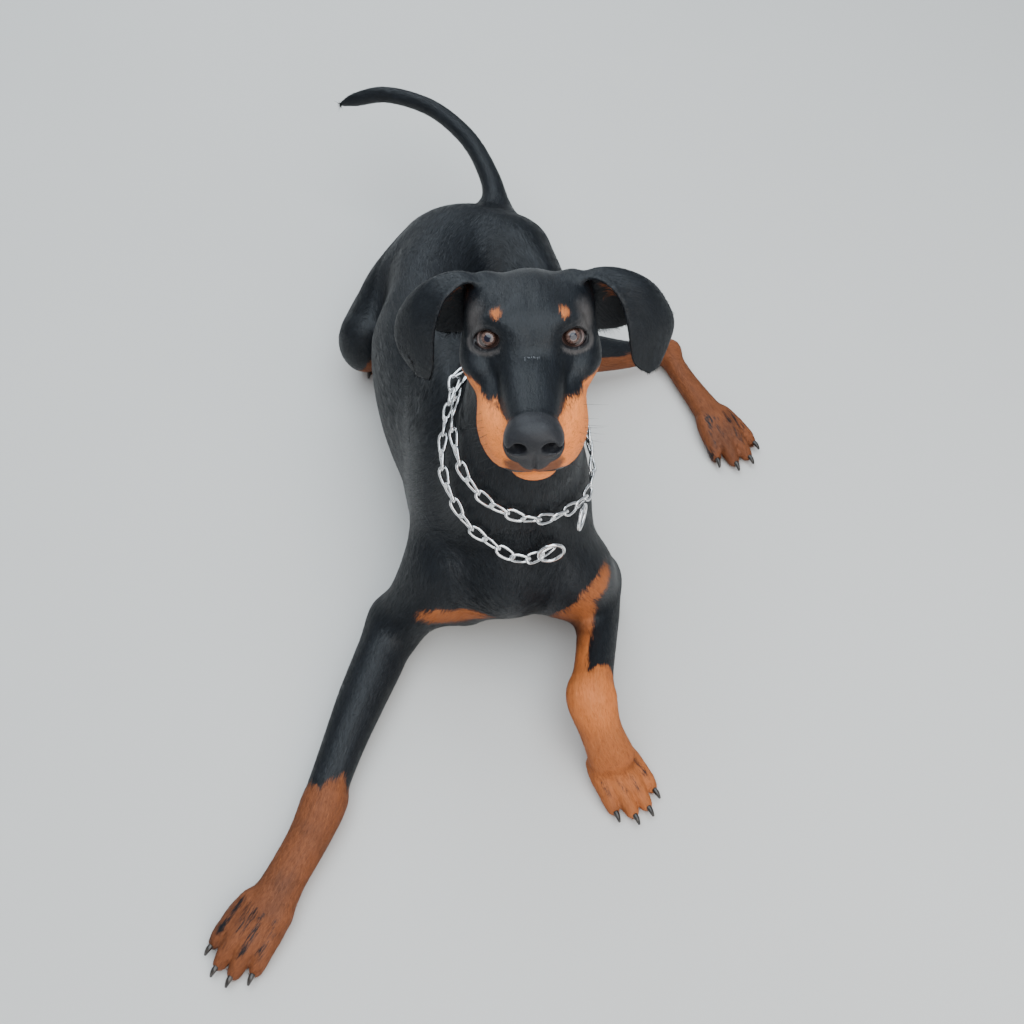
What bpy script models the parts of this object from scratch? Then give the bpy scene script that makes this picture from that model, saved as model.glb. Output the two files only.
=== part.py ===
"""A young doberman pinscher lying on its chest, looking up, as a life-size still model.

The flesh is one distance field in metres: ovals and tubes with oval sections, blended by a soft minimum.
Each node is a stretch of that field turned into a mesh, thinned, and cut off flat where it meets the next.
x runs to the dog's left, y from its nose to its tail, z up from the floor.
"""

import math

import bmesh
import bpy
import numpy as np
from mathutils import Matrix, Vector
from mathutils.bvhtree import BVHTree

FAR = 1.0
GAP = 0.0003
# The room left between a foot and the shank that lies over it, before both are thinned.
FOOT_ROOM = 0.0024
# The middle of the whole model on the floor, in the frame that the rows below are written in.
# At the end each node is moved so that this point becomes the origin.
MIDDLE = (0.00576, 0.64816, 0.0)

# The trunk, from the point of the chest to the rump: x, y, z, half width, half height, roll in degrees.
TRUNK = (
    (-0.004, 0.500, 0.104, 0.044, 0.054, 0),
    (-0.008, 0.536, 0.110, 0.062, 0.090, 2),
    (-0.024, 0.600, 0.108, 0.076, 0.111, 3),
    (-0.052, 0.675, 0.104, 0.080, 0.107, 5),
    (-0.074, 0.742, 0.104, 0.073, 0.094, 8),
    (-0.086, 0.802, 0.106, 0.060, 0.074, 11),
    (-0.078, 0.856, 0.106, 0.055, 0.062, 14),
    (-0.048, 0.908, 0.094, 0.060, 0.062, 16),
    (-0.026, 0.940, 0.085, 0.040, 0.046, 16),
)
# The neck, from between the shoulders to the back of the skull: x, y, z, half width, half depth.
NECK = (
    (-0.014, 0.585, 0.135, 0.068, 0.082),
    (-0.002, 0.560, 0.185, 0.063, 0.073),
    (0.007, 0.560, 0.235, 0.056, 0.062),
    (0.013, 0.578, 0.290, 0.048, 0.050),
    (0.014, 0.584, 0.318, 0.040, 0.038),
)
BREAST = (
    ((-0.046, 0.500, 0.066), (0.036, 0.036, 0.050)),
    ((0.040, 0.508, 0.074), (0.034, 0.034, 0.048)),
)
HOLLOWS = (
    ((0.002, 0.836, 0.176), (0.024, 0.036, 0.036)),
    ((-0.160, 0.812, 0.150), (0.024, 0.034, 0.036)),
)
TAIL = (
    (-0.030, 0.925, 0.105, 0.021, 0.020),
    (-0.018, 0.962, 0.120, 0.0150, 0.0145),
    (-0.030, 1.008, 0.134, 0.0120, 0.0120),
    (-0.055, 1.055, 0.143, 0.0110, 0.0110),
    (-0.097, 1.098, 0.148, 0.0104, 0.0104),
    (-0.150, 1.128, 0.143, 0.0100, 0.0100),
    (-0.188, 1.137, 0.130, 0.0090, 0.0090),
    (-0.208, 1.140, 0.121, 0.0042, 0.0042),
)

# Limbs: joints with half width and half depth. Left is the dog's own left, which has x positive.
SHOULDER = {
    "left": (
        (0.018, 0.632, 0.190, 0.018, 0.046),
        (0.042, 0.562, 0.148, 0.023, 0.042),
        (0.056, 0.506, 0.088, 0.022, 0.032),
    ),
    "right": (
        (-0.058, 0.640, 0.186, 0.018, 0.046),
        (-0.064, 0.575, 0.143, 0.022, 0.042),
        (-0.062, 0.512, 0.100, 0.025, 0.036),
    ),
}
UPPER_ARM = {
    "left": (
        (0.062, 0.502, 0.078, 0.027, 0.030),
        (0.073, 0.512, 0.064, 0.026, 0.032),
        (0.085, 0.526, 0.034, 0.021, 0.026),
    ),
    "right": (
        (-0.062, 0.510, 0.096, 0.030, 0.036),
        (-0.085, 0.492, 0.064, 0.032, 0.034),
        (-0.109, 0.478, 0.034, 0.026, 0.028),
    ),
}
FOREARM = {
    "left": (
        (0.086, 0.527, 0.027, 0.020, 0.026),
        (0.0835, 0.490, 0.042, 0.0225, 0.024),
        (0.080, 0.449, 0.056, 0.0200, 0.0200),
        (0.0740, 0.406, 0.071, 0.0195, 0.0180),
        (0.0710, 0.382, 0.078, 0.0240, 0.0185),
        (0.0790, 0.360, 0.058, 0.0205, 0.0155),
        (0.0905, 0.343, 0.034, 0.0220, 0.0145),
    ),
    "right": (
        (-0.116, 0.482, 0.027, 0.025, 0.028),
        (-0.126, 0.446, 0.027, 0.0250, 0.027),
        (-0.142, 0.401, 0.025, 0.0230, 0.0235),
        (-0.156, 0.357, 0.023, 0.0200, 0.0200),
        (-0.166, 0.322, 0.021, 0.0190, 0.0180),
        (-0.169, 0.304, 0.021, 0.0215, 0.0185),
        (-0.180, 0.273, 0.0195, 0.0195, 0.0160),
        (-0.197, 0.238, 0.0180, 0.0190, 0.0145),
        (-0.208, 0.214, 0.0175, 0.0220, 0.0140),
    ),
}
THIGH = {
    "left": (
        (0.002, 0.895, 0.100, 0.046, 0.056),
        (0.026, 0.846, 0.088, 0.038, 0.052),
        (0.030, 0.790, 0.070, 0.028, 0.038),
    ),
    "right": (
        (-0.088, 0.908, 0.084, 0.044, 0.056),
        (-0.128, 0.868, 0.074, 0.040, 0.056),
        (-0.156, 0.825, 0.062, 0.030, 0.042),
    ),
}
SHANK = {
    "left": (
        (0.030, 0.786, 0.066, 0.027, 0.031),
        (0.078, 0.800, 0.053, 0.0215, 0.0265),
        (0.127, 0.812, 0.037, 0.0150, 0.0190),
        (0.162, 0.825, 0.026, 0.0110, 0.0150),
        (0.180, 0.831, 0.019, 0.0120, 0.0160),
    ),
    "right": (
        (-0.166, 0.812, 0.054, 0.025, 0.030),
        (-0.162, 0.858, 0.050, 0.020, 0.024),
        (-0.150, 0.905, 0.038, 0.0150, 0.0180),
        (-0.137, 0.945, 0.026, 0.0115, 0.0160),
        (-0.131, 0.962, 0.020, 0.0120, 0.0160),
    ),
}
HIND_FOOT = {
    "left": (
        (0.180, 0.832, 0.0165, 0.0120, 0.0150),
        (0.194, 0.800, 0.0145, 0.0125, 0.0125),
        (0.210, 0.768, 0.0140, 0.0145, 0.0125),
        (0.2255, 0.738, 0.0135, 0.0180, 0.0130),
    ),
    "right": (
        (-0.131, 0.963, 0.0165, 0.0120, 0.0150),
        (-0.135, 0.925, 0.0140, 0.0120, 0.0120),
        (-0.141, 0.890, 0.0130, 0.0140, 0.0120),
        (-0.147, 0.865, 0.0130, 0.0170, 0.0120),
    ),
}
# Feet: where the toes part from the foot, and the heading of the foot in degrees, 0 towards the viewer, + to the left.
FEET = {
    "forepaw_left": ((0.0975, 0.334, 0.0), 30, 0.0138, 4),
    "forepaw_right": ((-0.222, 0.197, 0.0), -31, 0.0148, 4),
    "hindpaw_left": ((0.2335, 0.722, 0.0), 28, 0.0132, 9),
    "hindpaw_right": ((-0.150, 0.850, 0.0), -10, 0.0125, 4),
}
# Ears: rows from root to tip in head millimetres, each from the front edge round the outside to the back edge.
EAR_ROWS = {
    "right": (
        ((31, -40, 21), (33, -52, 20), (36, -60, 4), (36, -56, -22)),
        ((48, -35.5, 28.5), (53, -50, 28.5), (58, -65, 8), (52, -60, -27)),
        ((63, -27, 21), (71, -45, 27), (76, -63, 5), (66, -62, -29)),
        ((70, -23, 9), (83, -40, 19), (92, -59, 2), (82, -63, -26)),
        ((74.5, -21, -7), (91, -35, 4), (103, -53, -8), (96, -62, -26)),
        ((76.5, -21, -25), (93, -31, -15), (106, -46, -22), (101, -56, -36)),
        ((78, -23, -40), (91, -29, -34), (102, -40, -36), (99, -48, -44)),
        ((81, -27, -51), (86, -29, -51), (91, -33, -51), (90, -37, -52)),
    ),
    "left": (
        ((31, -40, 21), (33, -52, 20), (36, -60, 4), (36, -56, -22)),
        ((48, -37, 28.5), (54, -50, 28.5), (60, -65, 8), (53, -60, -28)),
        ((62, -30, 24), (73, -47, 28), (80, -63, 6), (71, -63, -29)),
        ((71, -25, 12), (88, -42, 21), (98, -59, 4), (90, -64, -23)),
        ((76, -22, -6), (96, -37, 6), (109, -53, -6), (103, -63, -22)),
        ((79, -22, -24), (99, -33, -13), (113.5, -47, -19), (109, -57, -31)),
        ((83, -24, -40), (97, -31, -33), (109, -41, -35), (106, -49, -42)),
        ((94, -29, -52), (98, -31, -51), (102, -34, -50), (101, -37, -51)),
    ),
}

# The head's own frame stands between the pupils: s to its left, f along the muzzle, h up.
EYE_MIDDLE = np.array((0.0138, 0.5465, 0.372))
HEAD_PITCH = 18.0
HEAD_ROLL = 1.2
HEAD_YAW = 0.5
EYE_BALL = np.array((0.0300, -0.0015, -0.0010))
EYE_RADIUS = 0.0112
EYE_OUT = np.array((0.34, 0.85, 0.38))
NOSE_TIP = 0.1085


def unit(v):
    v = np.asarray(v, float)
    return v / np.linalg.norm(v, axis=-1, keepdims=True)


def curve_through(rows, count):
    """Evenly timed points of a Catmull-Rom curve through the rows, whatever their columns."""
    p = np.asarray(rows, float)
    ends = np.vstack([2 * p[0] - p[1], p, 2 * p[-1] - p[-2]])
    t = np.linspace(0, len(p) - 1, count)
    i = np.minimum(t.astype(int), len(p) - 2)
    f = (t - i)[:, None]
    a, b, c, d = ends[i], ends[i + 1], ends[i + 2], ends[i + 3]
    return 0.5 * (2 * b + (c - a) * f + (2 * a - 5 * b + 4 * c - d) * f**2 + (3 * b - 3 * c + d - a) * f**3)


def soft_min(a, b, k):
    """The lesser of two distances, with the corner between them filled over a width k."""
    h = np.maximum(k - np.abs(a - b), 0) / k
    return np.minimum(a, b) - h * h * k * 0.25


def soft_cut(a, b, k):
    """What of a lies outside b, with the edge rounded over k."""
    return -soft_min(-a, b, k)


def ramp(x, low, high):
    t = np.clip((x - low) / (high - low), 0, 1)
    return t * t * (3 - 2 * t)


def spread(points, low, high, margin, distance):
    """Runs distance on the points in a box only, and calls the others far."""
    inside = np.all((points > low - margin) & (points < high + margin), axis=1)
    out = np.full(len(points), FAR)
    if inside.any():
        out[inside] = distance(points[inside])
    return out


def oval(points, centre, radii, axes=None, margin=0.03, power=2.0):
    """Distance to an ellipsoid, squarer for a higher power: its scaled radius, brought back to metres by its slope."""
    centre, radii = np.asarray(centre, float), np.asarray(radii, float)
    turn = np.eye(3) if axes is None else np.asarray(axes, float)

    def distance(p):
        q = (p - centre) @ turn.T / radii
        k0 = np.linalg.norm(q, axis=1) if power == 2 else np.sum(np.abs(q) ** power, axis=1) ** (1 / power)
        k1 = np.linalg.norm(q / radii, axis=1) * k0 / np.maximum(np.linalg.norm(q, axis=1), 1e-9)
        return k0 * (k0 - 1) / np.maximum(k1, 1e-9)

    return spread(points, centre - radii.max(), centre + radii.max(), margin, distance)


def tube(points, rows, side=(1, 0, 0), count=14, power=2.0, margin=0.03):
    """Distance to a tube with oval sections: rows hold x, y, z, half width along side, half depth, and a roll."""
    c = curve_through(rows, count)
    centre, wide, deep = c[:, :3], c[:, 3], c[:, 4]
    along = unit(np.gradient(centre, axis=0))
    across = unit(np.asarray(side, float) - (along @ np.asarray(side, float))[:, None] * along)
    up = np.cross(across, along)
    if c.shape[1] > 5:
        roll = np.radians(c[:, 5:6])
        across, up = np.cos(roll) * across + np.sin(roll) * up, np.cos(roll) * up - np.sin(roll) * across

    def distance(p):
        best = np.full(len(p), 9.0)
        seg = np.zeros(len(p), int)
        part = np.zeros(len(p))
        for j in range(count - 1):
            ab = centre[j + 1] - centre[j]
            t = np.clip((p - centre[j]) @ ab / (ab @ ab), 0, 1)
            gap = np.sum((p - centre[j] - t[:, None] * ab) ** 2, axis=1)
            closer = gap < best
            best[closer], seg[closer], part[closer] = gap[closer], j, t[closer]
        t = part[:, None]

        def mix(v):
            v = v.reshape(count, -1)
            return v[seg] * (1 - t) + v[seg + 1] * t

        q = p - mix(centre)
        w, d = mix(wide)[:, 0], mix(deep)[:, 0]
        r = np.stack([w, d, (w + d) / 2], axis=1)
        local = np.stack([np.sum(q * mix(v), axis=1) for v in (across, up, along)], axis=1) / r
        k0 = np.sum(np.abs(local) ** power, axis=1) ** (1 / power)
        k1 = np.linalg.norm(local / r, axis=1) * k0 / np.maximum(np.linalg.norm(local, axis=1), 1e-9)
        return k0 * (k0 - 1) / np.maximum(k1, 1e-9)

    reach = max(wide.max(), deep.max())
    return spread(points, centre.min(0) - reach, centre.max(0) + reach, margin, distance)


def head_axes():
    """Rows are the head's s, f and h directions."""
    p, r, y = (math.radians(a) for a in (HEAD_PITCH, HEAD_ROLL, HEAD_YAW))
    f = np.array((math.sin(y) * math.cos(p), -math.cos(y) * math.cos(p), math.sin(p)))
    s = unit(np.array((math.cos(y), math.sin(y), 0.0)))
    h = np.cross(s, f) * -1
    h = -h if h[2] < 0 else h
    s, h = math.cos(r) * s + math.sin(r) * h, math.cos(r) * h - math.sin(r) * s
    return np.stack([s, f, h])


HEAD_AXES = head_axes()


def to_head(points):
    return (points - EYE_MIDDLE) @ HEAD_AXES.T


def from_head(local):
    return np.asarray(local, float) @ HEAD_AXES + EYE_MIDDLE


# One upper lip from the corner of the mouth to the front, and the lower jaw from its tip back, in head metres.
LIP = (
    (0.0330, -0.002, -0.035, 0.0100, 0.0150),
    (0.0310, 0.028, -0.041, 0.0105, 0.0180),
    (0.0300, 0.052, -0.043, 0.0115, 0.0195),
    (0.0240, 0.074, -0.042, 0.0115, 0.0185),
    (0.0150, 0.089, -0.0410, 0.0105, 0.0145),
    (0.0045, 0.0955, -0.0395, 0.0085, 0.0120),
)
JAW = (
    (0, 0.0768, -0.0622, 0.0176, 0.0098),
    (0, 0.0620, -0.0628, 0.0236, 0.0110),
    (0, 0.040, -0.0610, 0.0275, 0.0120),
    (0, 0.010, -0.0580, 0.0300, 0.0140),
    (0, -0.022, -0.0540, 0.0320, 0.0160),
)


def upper_lip(m):
    return tube(m, LIP, side=(1, 0, 0), count=14)


def lower_jaw(q):
    return tube(q, JAW, count=12)


def skull(q):
    """The head without ears, in its own frame. The sides match, so s is taken without its sign."""
    m = np.column_stack([np.abs(q[:, 0]), q[:, 1], q[:, 2]])
    d = oval(q, (0, -0.034, -0.006), (0.044, 0.052, 0.037))
    d = soft_min(d, oval(m, (0.008, -0.006, 0.002), (0.026, 0.027, 0.022)), 0.014)
    d = soft_min(d, oval(m, (0.030, -0.040, -0.002), (0.021, 0.036, 0.026)), 0.012)
    d = soft_min(d, oval(m, (0.037, -0.012, -0.022), (0.018, 0.032, 0.017)), 0.014)
    d = soft_min(d, oval(m, (0.031, -0.026, -0.042), (0.019, 0.030, 0.021)), 0.016)
    d = soft_min(d, oval(m, (0.027, 0.001, 0.0125), (0.013, 0.012, 0.008)), 0.010)
    d = soft_min(d, oval(m, (0.0345, -0.0500, 0.0040), (0.0130, 0.0165, 0.0235)), 0.010)
    bridge = (
        (0, -0.005, -0.014, 0.029, 0.022),
        (0, 0.022, -0.018, 0.0255, 0.0200),
        (0, 0.055, -0.021, 0.0225, 0.0190),
        (0, 0.080, -0.0238, 0.0195, 0.0177),
        (0, 0.092, -0.0254, 0.0168, 0.0163),
    )
    d = soft_min(d, tube(q, bridge, power=2.4, count=12), 0.012)
    d = soft_min(d, upper_lip(m), 0.010)
    d = soft_min(d, oval(q, (0, 0.070, -0.048), (0.022, 0.024, 0.013)), 0.004)
    d = soft_min(d, lower_jaw(q), 0.0025)
    nose = oval(q, (0, 0.0945, -0.0212), (0.0205, 0.0165, 0.0160), power=2.4)
    nose = soft_min(nose, oval(m, (0.0125, 0.0985, -0.0235), (0.0095, 0.0115, 0.0105)), 0.004)
    d = soft_min(d, nose, 0.0022)
    nostril = (
        (0.0100, 0.1130, -0.0240, 0.0046, 0.0038),
        (0.0112, 0.1040, -0.0225, 0.0044, 0.0038),
        (0.0115, 0.0970, -0.0205, 0.0022, 0.0022),
    )
    d = soft_cut(d, tube(m, nostril, count=6), 0.002)
    slit = (
        (0.0122, 0.1075, -0.0250, 0.0027, 0.0025),
        (0.0172, 0.1035, -0.0252, 0.0021, 0.0018),
        (0.0212, 0.0975, -0.0226, 0.0011, 0.0011),
    )
    d = soft_cut(d, tube(m, slit, count=6), 0.0015)
    groove = (
        (0, 0.1115, -0.0260, 0.0007, 0.0010),
        (0, 0.1080, -0.0350, 0.0007, 0.0014),
        (0, 0.1045, -0.0440, 0.0007, 0.0012),
    )
    d = soft_cut(d, tube(q, groove, count=6), 0.0015)
    dish = EYE_BALL + unit(EYE_OUT) * (EYE_RADIUS + 0.0125)
    d = soft_cut(d, oval(m, dish, (0.0135,) * 3), 0.012)
    d = soft_min(d, oval(m, EYE_BALL, (EYE_RADIUS + 0.0018,) * 3), 0.005)
    return soft_cut(d, eye_opening(m), 0.0014)


def eye_opening(m):
    """The gap between the lids: an almond seen along the eye's own line of sight, no further out than the lids."""
    out = unit(EYE_OUT)
    across = unit(np.cross(out, (0, 0, 1)) * -1)
    across = across if across[0] > 0 else -across
    up = np.cross(across, out)
    up = up if up[2] > 0 else -up
    q = m - EYE_BALL
    x, z, y = q @ across, q @ up, q @ out
    x, z = x - 0.20 * z, z + 0.20 * x
    lid = np.sqrt((x / 0.0126) ** 2 + (z / 0.0066) ** 2)
    almond = (lid - 1) * 0.0066 + 0.10 * np.abs(x)
    return np.maximum(np.maximum(almond, 0.004 - y), np.linalg.norm(q, axis=1) - EYE_RADIUS - 0.0045)


def ear_sheet(hand, rows=30, columns=18):
    """The middle surface of an ear: curves through the rows of EAR_ROWS, then curves down through those."""
    keys = np.array(EAR_ROWS["left" if hand > 0 else "right"], float) / 1000
    across = np.stack([curve_through(row, columns) for row in keys])
    grid = np.stack([curve_through(across[:, c], rows) for c in range(columns)], axis=1)
    grid = grid.reshape(-1, 3)
    grid[:, 0] *= hand
    return from_head(grid).reshape(rows, columns, 3)


def ear_tree(hand):
    grid = ear_sheet(hand)
    rows, columns = grid.shape[:2]
    faces = [
        (r * columns + c, r * columns + c + 1, (r + 1) * columns + c + 1, (r + 1) * columns + c)
        for r in range(rows - 1)
        for c in range(columns - 1)
    ]
    return BVHTree.FromPolygons(grid.reshape(-1, 3).tolist(), faces), grid


EAR_TREES = {1: ear_tree(1), -1: ear_tree(-1)}
EAR_HALF = 0.0022


def ear(points, hand):
    """Distance to an ear: half its thickness short of the distance to its middle surface."""
    tree, grid = EAR_TREES[hand]
    flat = grid.reshape(-1, 3)

    def distance(p):
        return np.array([tree.find_nearest(v)[3] for v in p.tolist()]) - EAR_HALF

    return spread(points, flat.min(0), flat.max(0), 0.010, distance)


def toe_frame(place, heading):
    a = math.radians(heading)
    ahead = np.array((math.sin(a), -math.cos(a), 0.0))
    side = np.array((math.cos(a), math.sin(a), 0.0))
    return np.array(place), ahead, side


def toes_of(name):
    """Each toe's rows: root, knuckle, tip and the point where its claw leaves."""
    place, heading, pitch, fan = FEET[name]
    made = []
    for i, step in enumerate((-1.5, -0.5, 0.5, 1.5)):
        middle = abs(step) < 1
        origin, ahead, side = toe_frame(place, heading + step * fan)
        base = origin + side * step * pitch * 0.86
        long = 0.036 if middle else 0.027
        rise = 0.0225 if middle else 0.0200
        fat = 0.0085 if middle else 0.0080
        made.append([
            (*(base - ahead * 0.016 + [0, 0, 0.017]), fat * 0.85, fat * 0.9),
            (*(base + ahead * long * 0.35 + [0, 0, rise - 0.007]), fat, fat * 1.0),
            (*(base + ahead * long * 0.75 + [0, 0, 0.0105]), fat * 0.98, fat * 1.05),
            (*(base + ahead * long + [0, 0, 0.0068]), fat * 0.80, fat * 0.85),
        ])
    return made


def paw(points, name):
    """Four toes and the pad behind them."""
    place, heading, pitch, fan = FEET[name]
    origin, ahead, side = toe_frame(place, heading)
    palm = oval(
        points, origin - ahead * 0.004 + [0, 0, 0.0125], (pitch * 1.75, 0.024, 0.0135),
        axes=np.stack([side, ahead, np.array((0, 0, 1.0))]),
    )
    toes = None
    for rows in toes_of(name):
        one = tube(points, rows, side=side, count=8, margin=0.02)
        toes = one if toes is None else soft_min(toes, one, 0.0022)
    return soft_min(palm, toes, 0.008)


def blend_width(points, place, near, far, reach):
    """A blending width that is wide round a joint and narrow away from it."""
    away = np.linalg.norm(points - np.asarray(place), axis=1)
    return near + (far - near) * ramp(away, 0.25 * reach, reach)


def flesh(points, ears=True):
    """The whole animal in one field."""
    d = tube(points, TRUNK, side=(1, 0, 0), count=56, margin=0.06)
    d = soft_min(d, tube(points, NECK, side=(1, 0, 0), count=48, margin=0.06), 0.045)
    for centre, radii in BREAST:
        d = soft_min(d, oval(points, centre, radii, margin=0.04), 0.030)
    for hand in ("left", "right"):
        d = soft_min(d, tube(points, SHOULDER[hand], side=(1, 0, 0), margin=0.05), 0.035)
        arm = tube(points, UPPER_ARM[hand], side=(1, 0, 0), margin=0.04)
        fore = tube(points, FOREARM[hand], side=(1, 0, 0), count=26, margin=0.04)
        arm = soft_min(arm, fore, 0.016)
        arm = soft_min(arm, paw(points, "forepaw_" + hand), 0.009)
        d = soft_min(d, arm, blend_width(points, SHOULDER[hand][2][:3], 0.035, 0.006, 0.12))
        thigh = tube(points, THIGH[hand], side=(1, 0, 0), count=12, margin=0.05)
        shank = tube(points, SHANK[hand], side=(0, 1, 0) if hand == "left" else (1, 0, 0), count=20, margin=0.04)
        leg = soft_min(thigh, shank, 0.022)
        foot = tube(points, HIND_FOOT[hand], side=(1, 0, 0), count=14, margin=0.03)
        foot = soft_min(foot, paw(points, "hindpaw_" + hand), 0.009)
        leg = soft_min(leg, foot, blend_width(points, HIND_FOOT[hand][0][:3], 0.012, 0.002, 0.04))
        d = soft_min(d, leg, blend_width(points, THIGH[hand][0][:3], 0.034, 0.008, 0.14))
    d = soft_min(d, tube(points, TAIL, side=(1, 0, 0), count=36, margin=0.04), 0.018)
    for centre, radii in HOLLOWS:
        d = soft_cut(d, oval(points, centre, radii, margin=0.04), 0.030)
    q = to_head(points)
    head = np.full(len(points), FAR)
    close = np.all(np.abs(q - np.array((0, 0.01, -0.02))) < np.array((0.10, 0.14, 0.11)), axis=1)
    if close.any():
        head[close] = skull(q[close])
    if ears:
        for hand in (1, -1):
            head = soft_min(head, ear(points, hand), 0.006)
    d = soft_min(d, head, 0.022)
    return d


BLOCK = 4
CORNERS = np.array([(i, j, k) for i in (0, 1) for j in (0, 1) for k in (0, 1)])
# Six tetrahedra fill a cell. All hold its diagonal from corner 0 to 7, and all turn the same way round.
TETRAHEDRA = np.array(((0, 4, 6, 7), (0, 6, 2, 7), (0, 2, 3, 7), (0, 3, 1, 7), (0, 1, 5, 7), (0, 5, 4, 7)))


def tetrahedron_cases():
    """For each set of inner corners, the triangles between its crossed edges, facing out."""
    even = {0: (0, 1, 2, 3), 1: (1, 0, 3, 2), 2: (2, 3, 0, 1), 3: (3, 2, 1, 0)}
    pairs = ((0, 1, 2, 3), (0, 2, 3, 1), (0, 3, 1, 2), (1, 2, 0, 3), (1, 3, 2, 0), (2, 3, 0, 1))
    cases = {}
    for a, (_, b, c, d) in even.items():
        cases[1 << a] = [((a, b), (a, c), (a, d))]
        cases[15 - (1 << a)] = [((a, b), (a, d), (a, c))]
    for a, b, c, d in pairs:
        quad = ((a, c), (a, d), (b, d), (b, c))
        cases[(1 << a) | (1 << b)] = [(quad[0], quad[1], quad[2]), (quad[0], quad[2], quad[3])]
    return cases


def surface_of(field, low, high, step):
    """The surface where the field is zero, from tetrahedra, so that it is always closed and never meets itself.

    The box is cut into blocks of BLOCK cells a side, and only blocks near the surface are looked into.
    """
    low, high = np.asarray(low, float), np.asarray(high, float)
    blocks = np.ceil((high - low) / (step * BLOCK)).astype(int)
    ids = np.stack(np.meshgrid(*(np.arange(n) for n in blocks), indexing="ij"), -1).reshape(-1, 3)
    size = step * BLOCK
    near = [np.abs(field(low + (part + 0.5) * size)) for part in np.array_split(ids, max(1, len(ids) // 200000))]
    ids = ids[np.concatenate(near) < size * 1.25]
    local = np.stack(np.meshgrid(*(np.arange(BLOCK + 1),) * 3, indexing="ij"), -1)
    values = []
    for part in np.array_split(ids, max(1, len(ids) // 4000)):
        at = low + (part[:, None, None, None] * BLOCK + local) * step
        values.append(field(at.reshape(-1, 3)).reshape(len(part), BLOCK + 1, BLOCK + 1, BLOCK + 1))
    v = np.concatenate(values)
    corner = np.stack([v[:, i : i + BLOCK, j : j + BLOCK, k : k + BLOCK] for i, j, k in CORNERS], -1)
    within = corner < 0
    mixed = within.any(-1) & ~within.all(-1)
    block, i, j, k = np.nonzero(mixed)
    cell = ids[block] * BLOCK + np.stack([i, j, k], 1)
    corner, within = corner[mixed], within[mixed]
    span = blocks * BLOCK + 2
    number = (cell[:, None, :] + CORNERS) @ np.array((span[1] * span[2], span[2], 1))
    edges, ends = [], []
    for tetra in TETRAHEDRA:
        mask = within[:, tetra] @ np.array((1, 2, 4, 8))
        for case, triangles in tetrahedron_cases().items():
            hit = np.nonzero(mask == case)[0]
            for triangle in triangles:
                for a, b in triangle:
                    lo, hi = sorted((tetra[a], tetra[b]))
                    edges.append(number[hit, lo] * 8 + (lo ^ hi))
                    ends.append((hit, lo, hi))
    keys = np.concatenate([np.stack(edges[n : n + 3], 1) for n in range(0, len(edges), 3)])
    flat, first, index = np.unique(keys.ravel(), return_index=True, return_inverse=True)
    hit = np.concatenate([np.stack([e[0] for e in ends[n : n + 3]], 1) for n in range(0, len(ends), 3)]).ravel()[first]
    pair = [np.stack([np.full((len(e[0]), 2), e[1:]) for e in ends[n : n + 3]], 1) for n in range(0, len(ends), 3)]
    pair = np.concatenate(pair).reshape(-1, 2)[first]
    a, b = corner[hit, pair[:, 0]], corner[hit, pair[:, 1]]
    t = np.clip(a / (a - b), 0.03, 0.97)[:, None]
    points = low + (cell[hit] + CORNERS[pair[:, 0]] * (1 - t) + CORNERS[pair[:, 1]] * t) * step
    return points, index.reshape(-1, 3)


def mesh_object(name, points, faces):
    mesh = bpy.data.meshes.new(name)
    mesh.from_pydata(np.asarray(points).tolist(), [], faces.tolist() if isinstance(faces, np.ndarray) else faces)
    mesh.validate()
    obj = bpy.data.objects.new(name, mesh)
    bpy.context.scene.collection.objects.link(obj)
    return obj


def head_field(points):
    """The head without ears or eyes, blended into the neck."""
    return flesh(points, ears=False)


class Box:
    """A box with one face through a point, reaching ahead of it, with one side level unless it is told otherwise."""

    def __init__(self, point, ahead, wide, high, deep, level=(0, 0, 1)):
        self.ahead = unit(ahead)
        self.side = unit(np.cross(self.ahead, level))
        self.up = np.cross(self.side, self.ahead)
        self.axes = np.stack([self.side, self.up, self.ahead])
        self.half = np.array((wide, high, deep / 2.0))
        self.centre = np.asarray(point, float) + self.ahead * deep / 2

    def shell(self, name, grow):
        """The box as a mesh object, each face moved out by grow."""
        half = self.half + grow
        corners = (CORNERS * 2 - 1) * half @ self.axes + self.centre
        quads = ((0, 1, 3, 2), (4, 6, 7, 5), (0, 4, 5, 1), (2, 3, 7, 6), (0, 2, 6, 4), (1, 5, 7, 3))
        obj = mesh_object(name, corners, quads)
        face_outward(obj)
        return obj

    def bounds(self):
        reach = np.abs(self.axes).T @ self.half
        return self.centre - reach, self.centre + reach


def tail_at(part):
    """Place and heading of the tail at a part of its length."""
    c = curve_through(TAIL, 201)[:, :3]
    i = int(round(part * 200))
    return c[i], c[min(i + 2, 200)] - c[max(i - 2, 0)]


def tail_box(part, deep):
    place, ahead = tail_at(part)
    return Box(place, ahead, 0.045, 0.045, deep)


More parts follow.
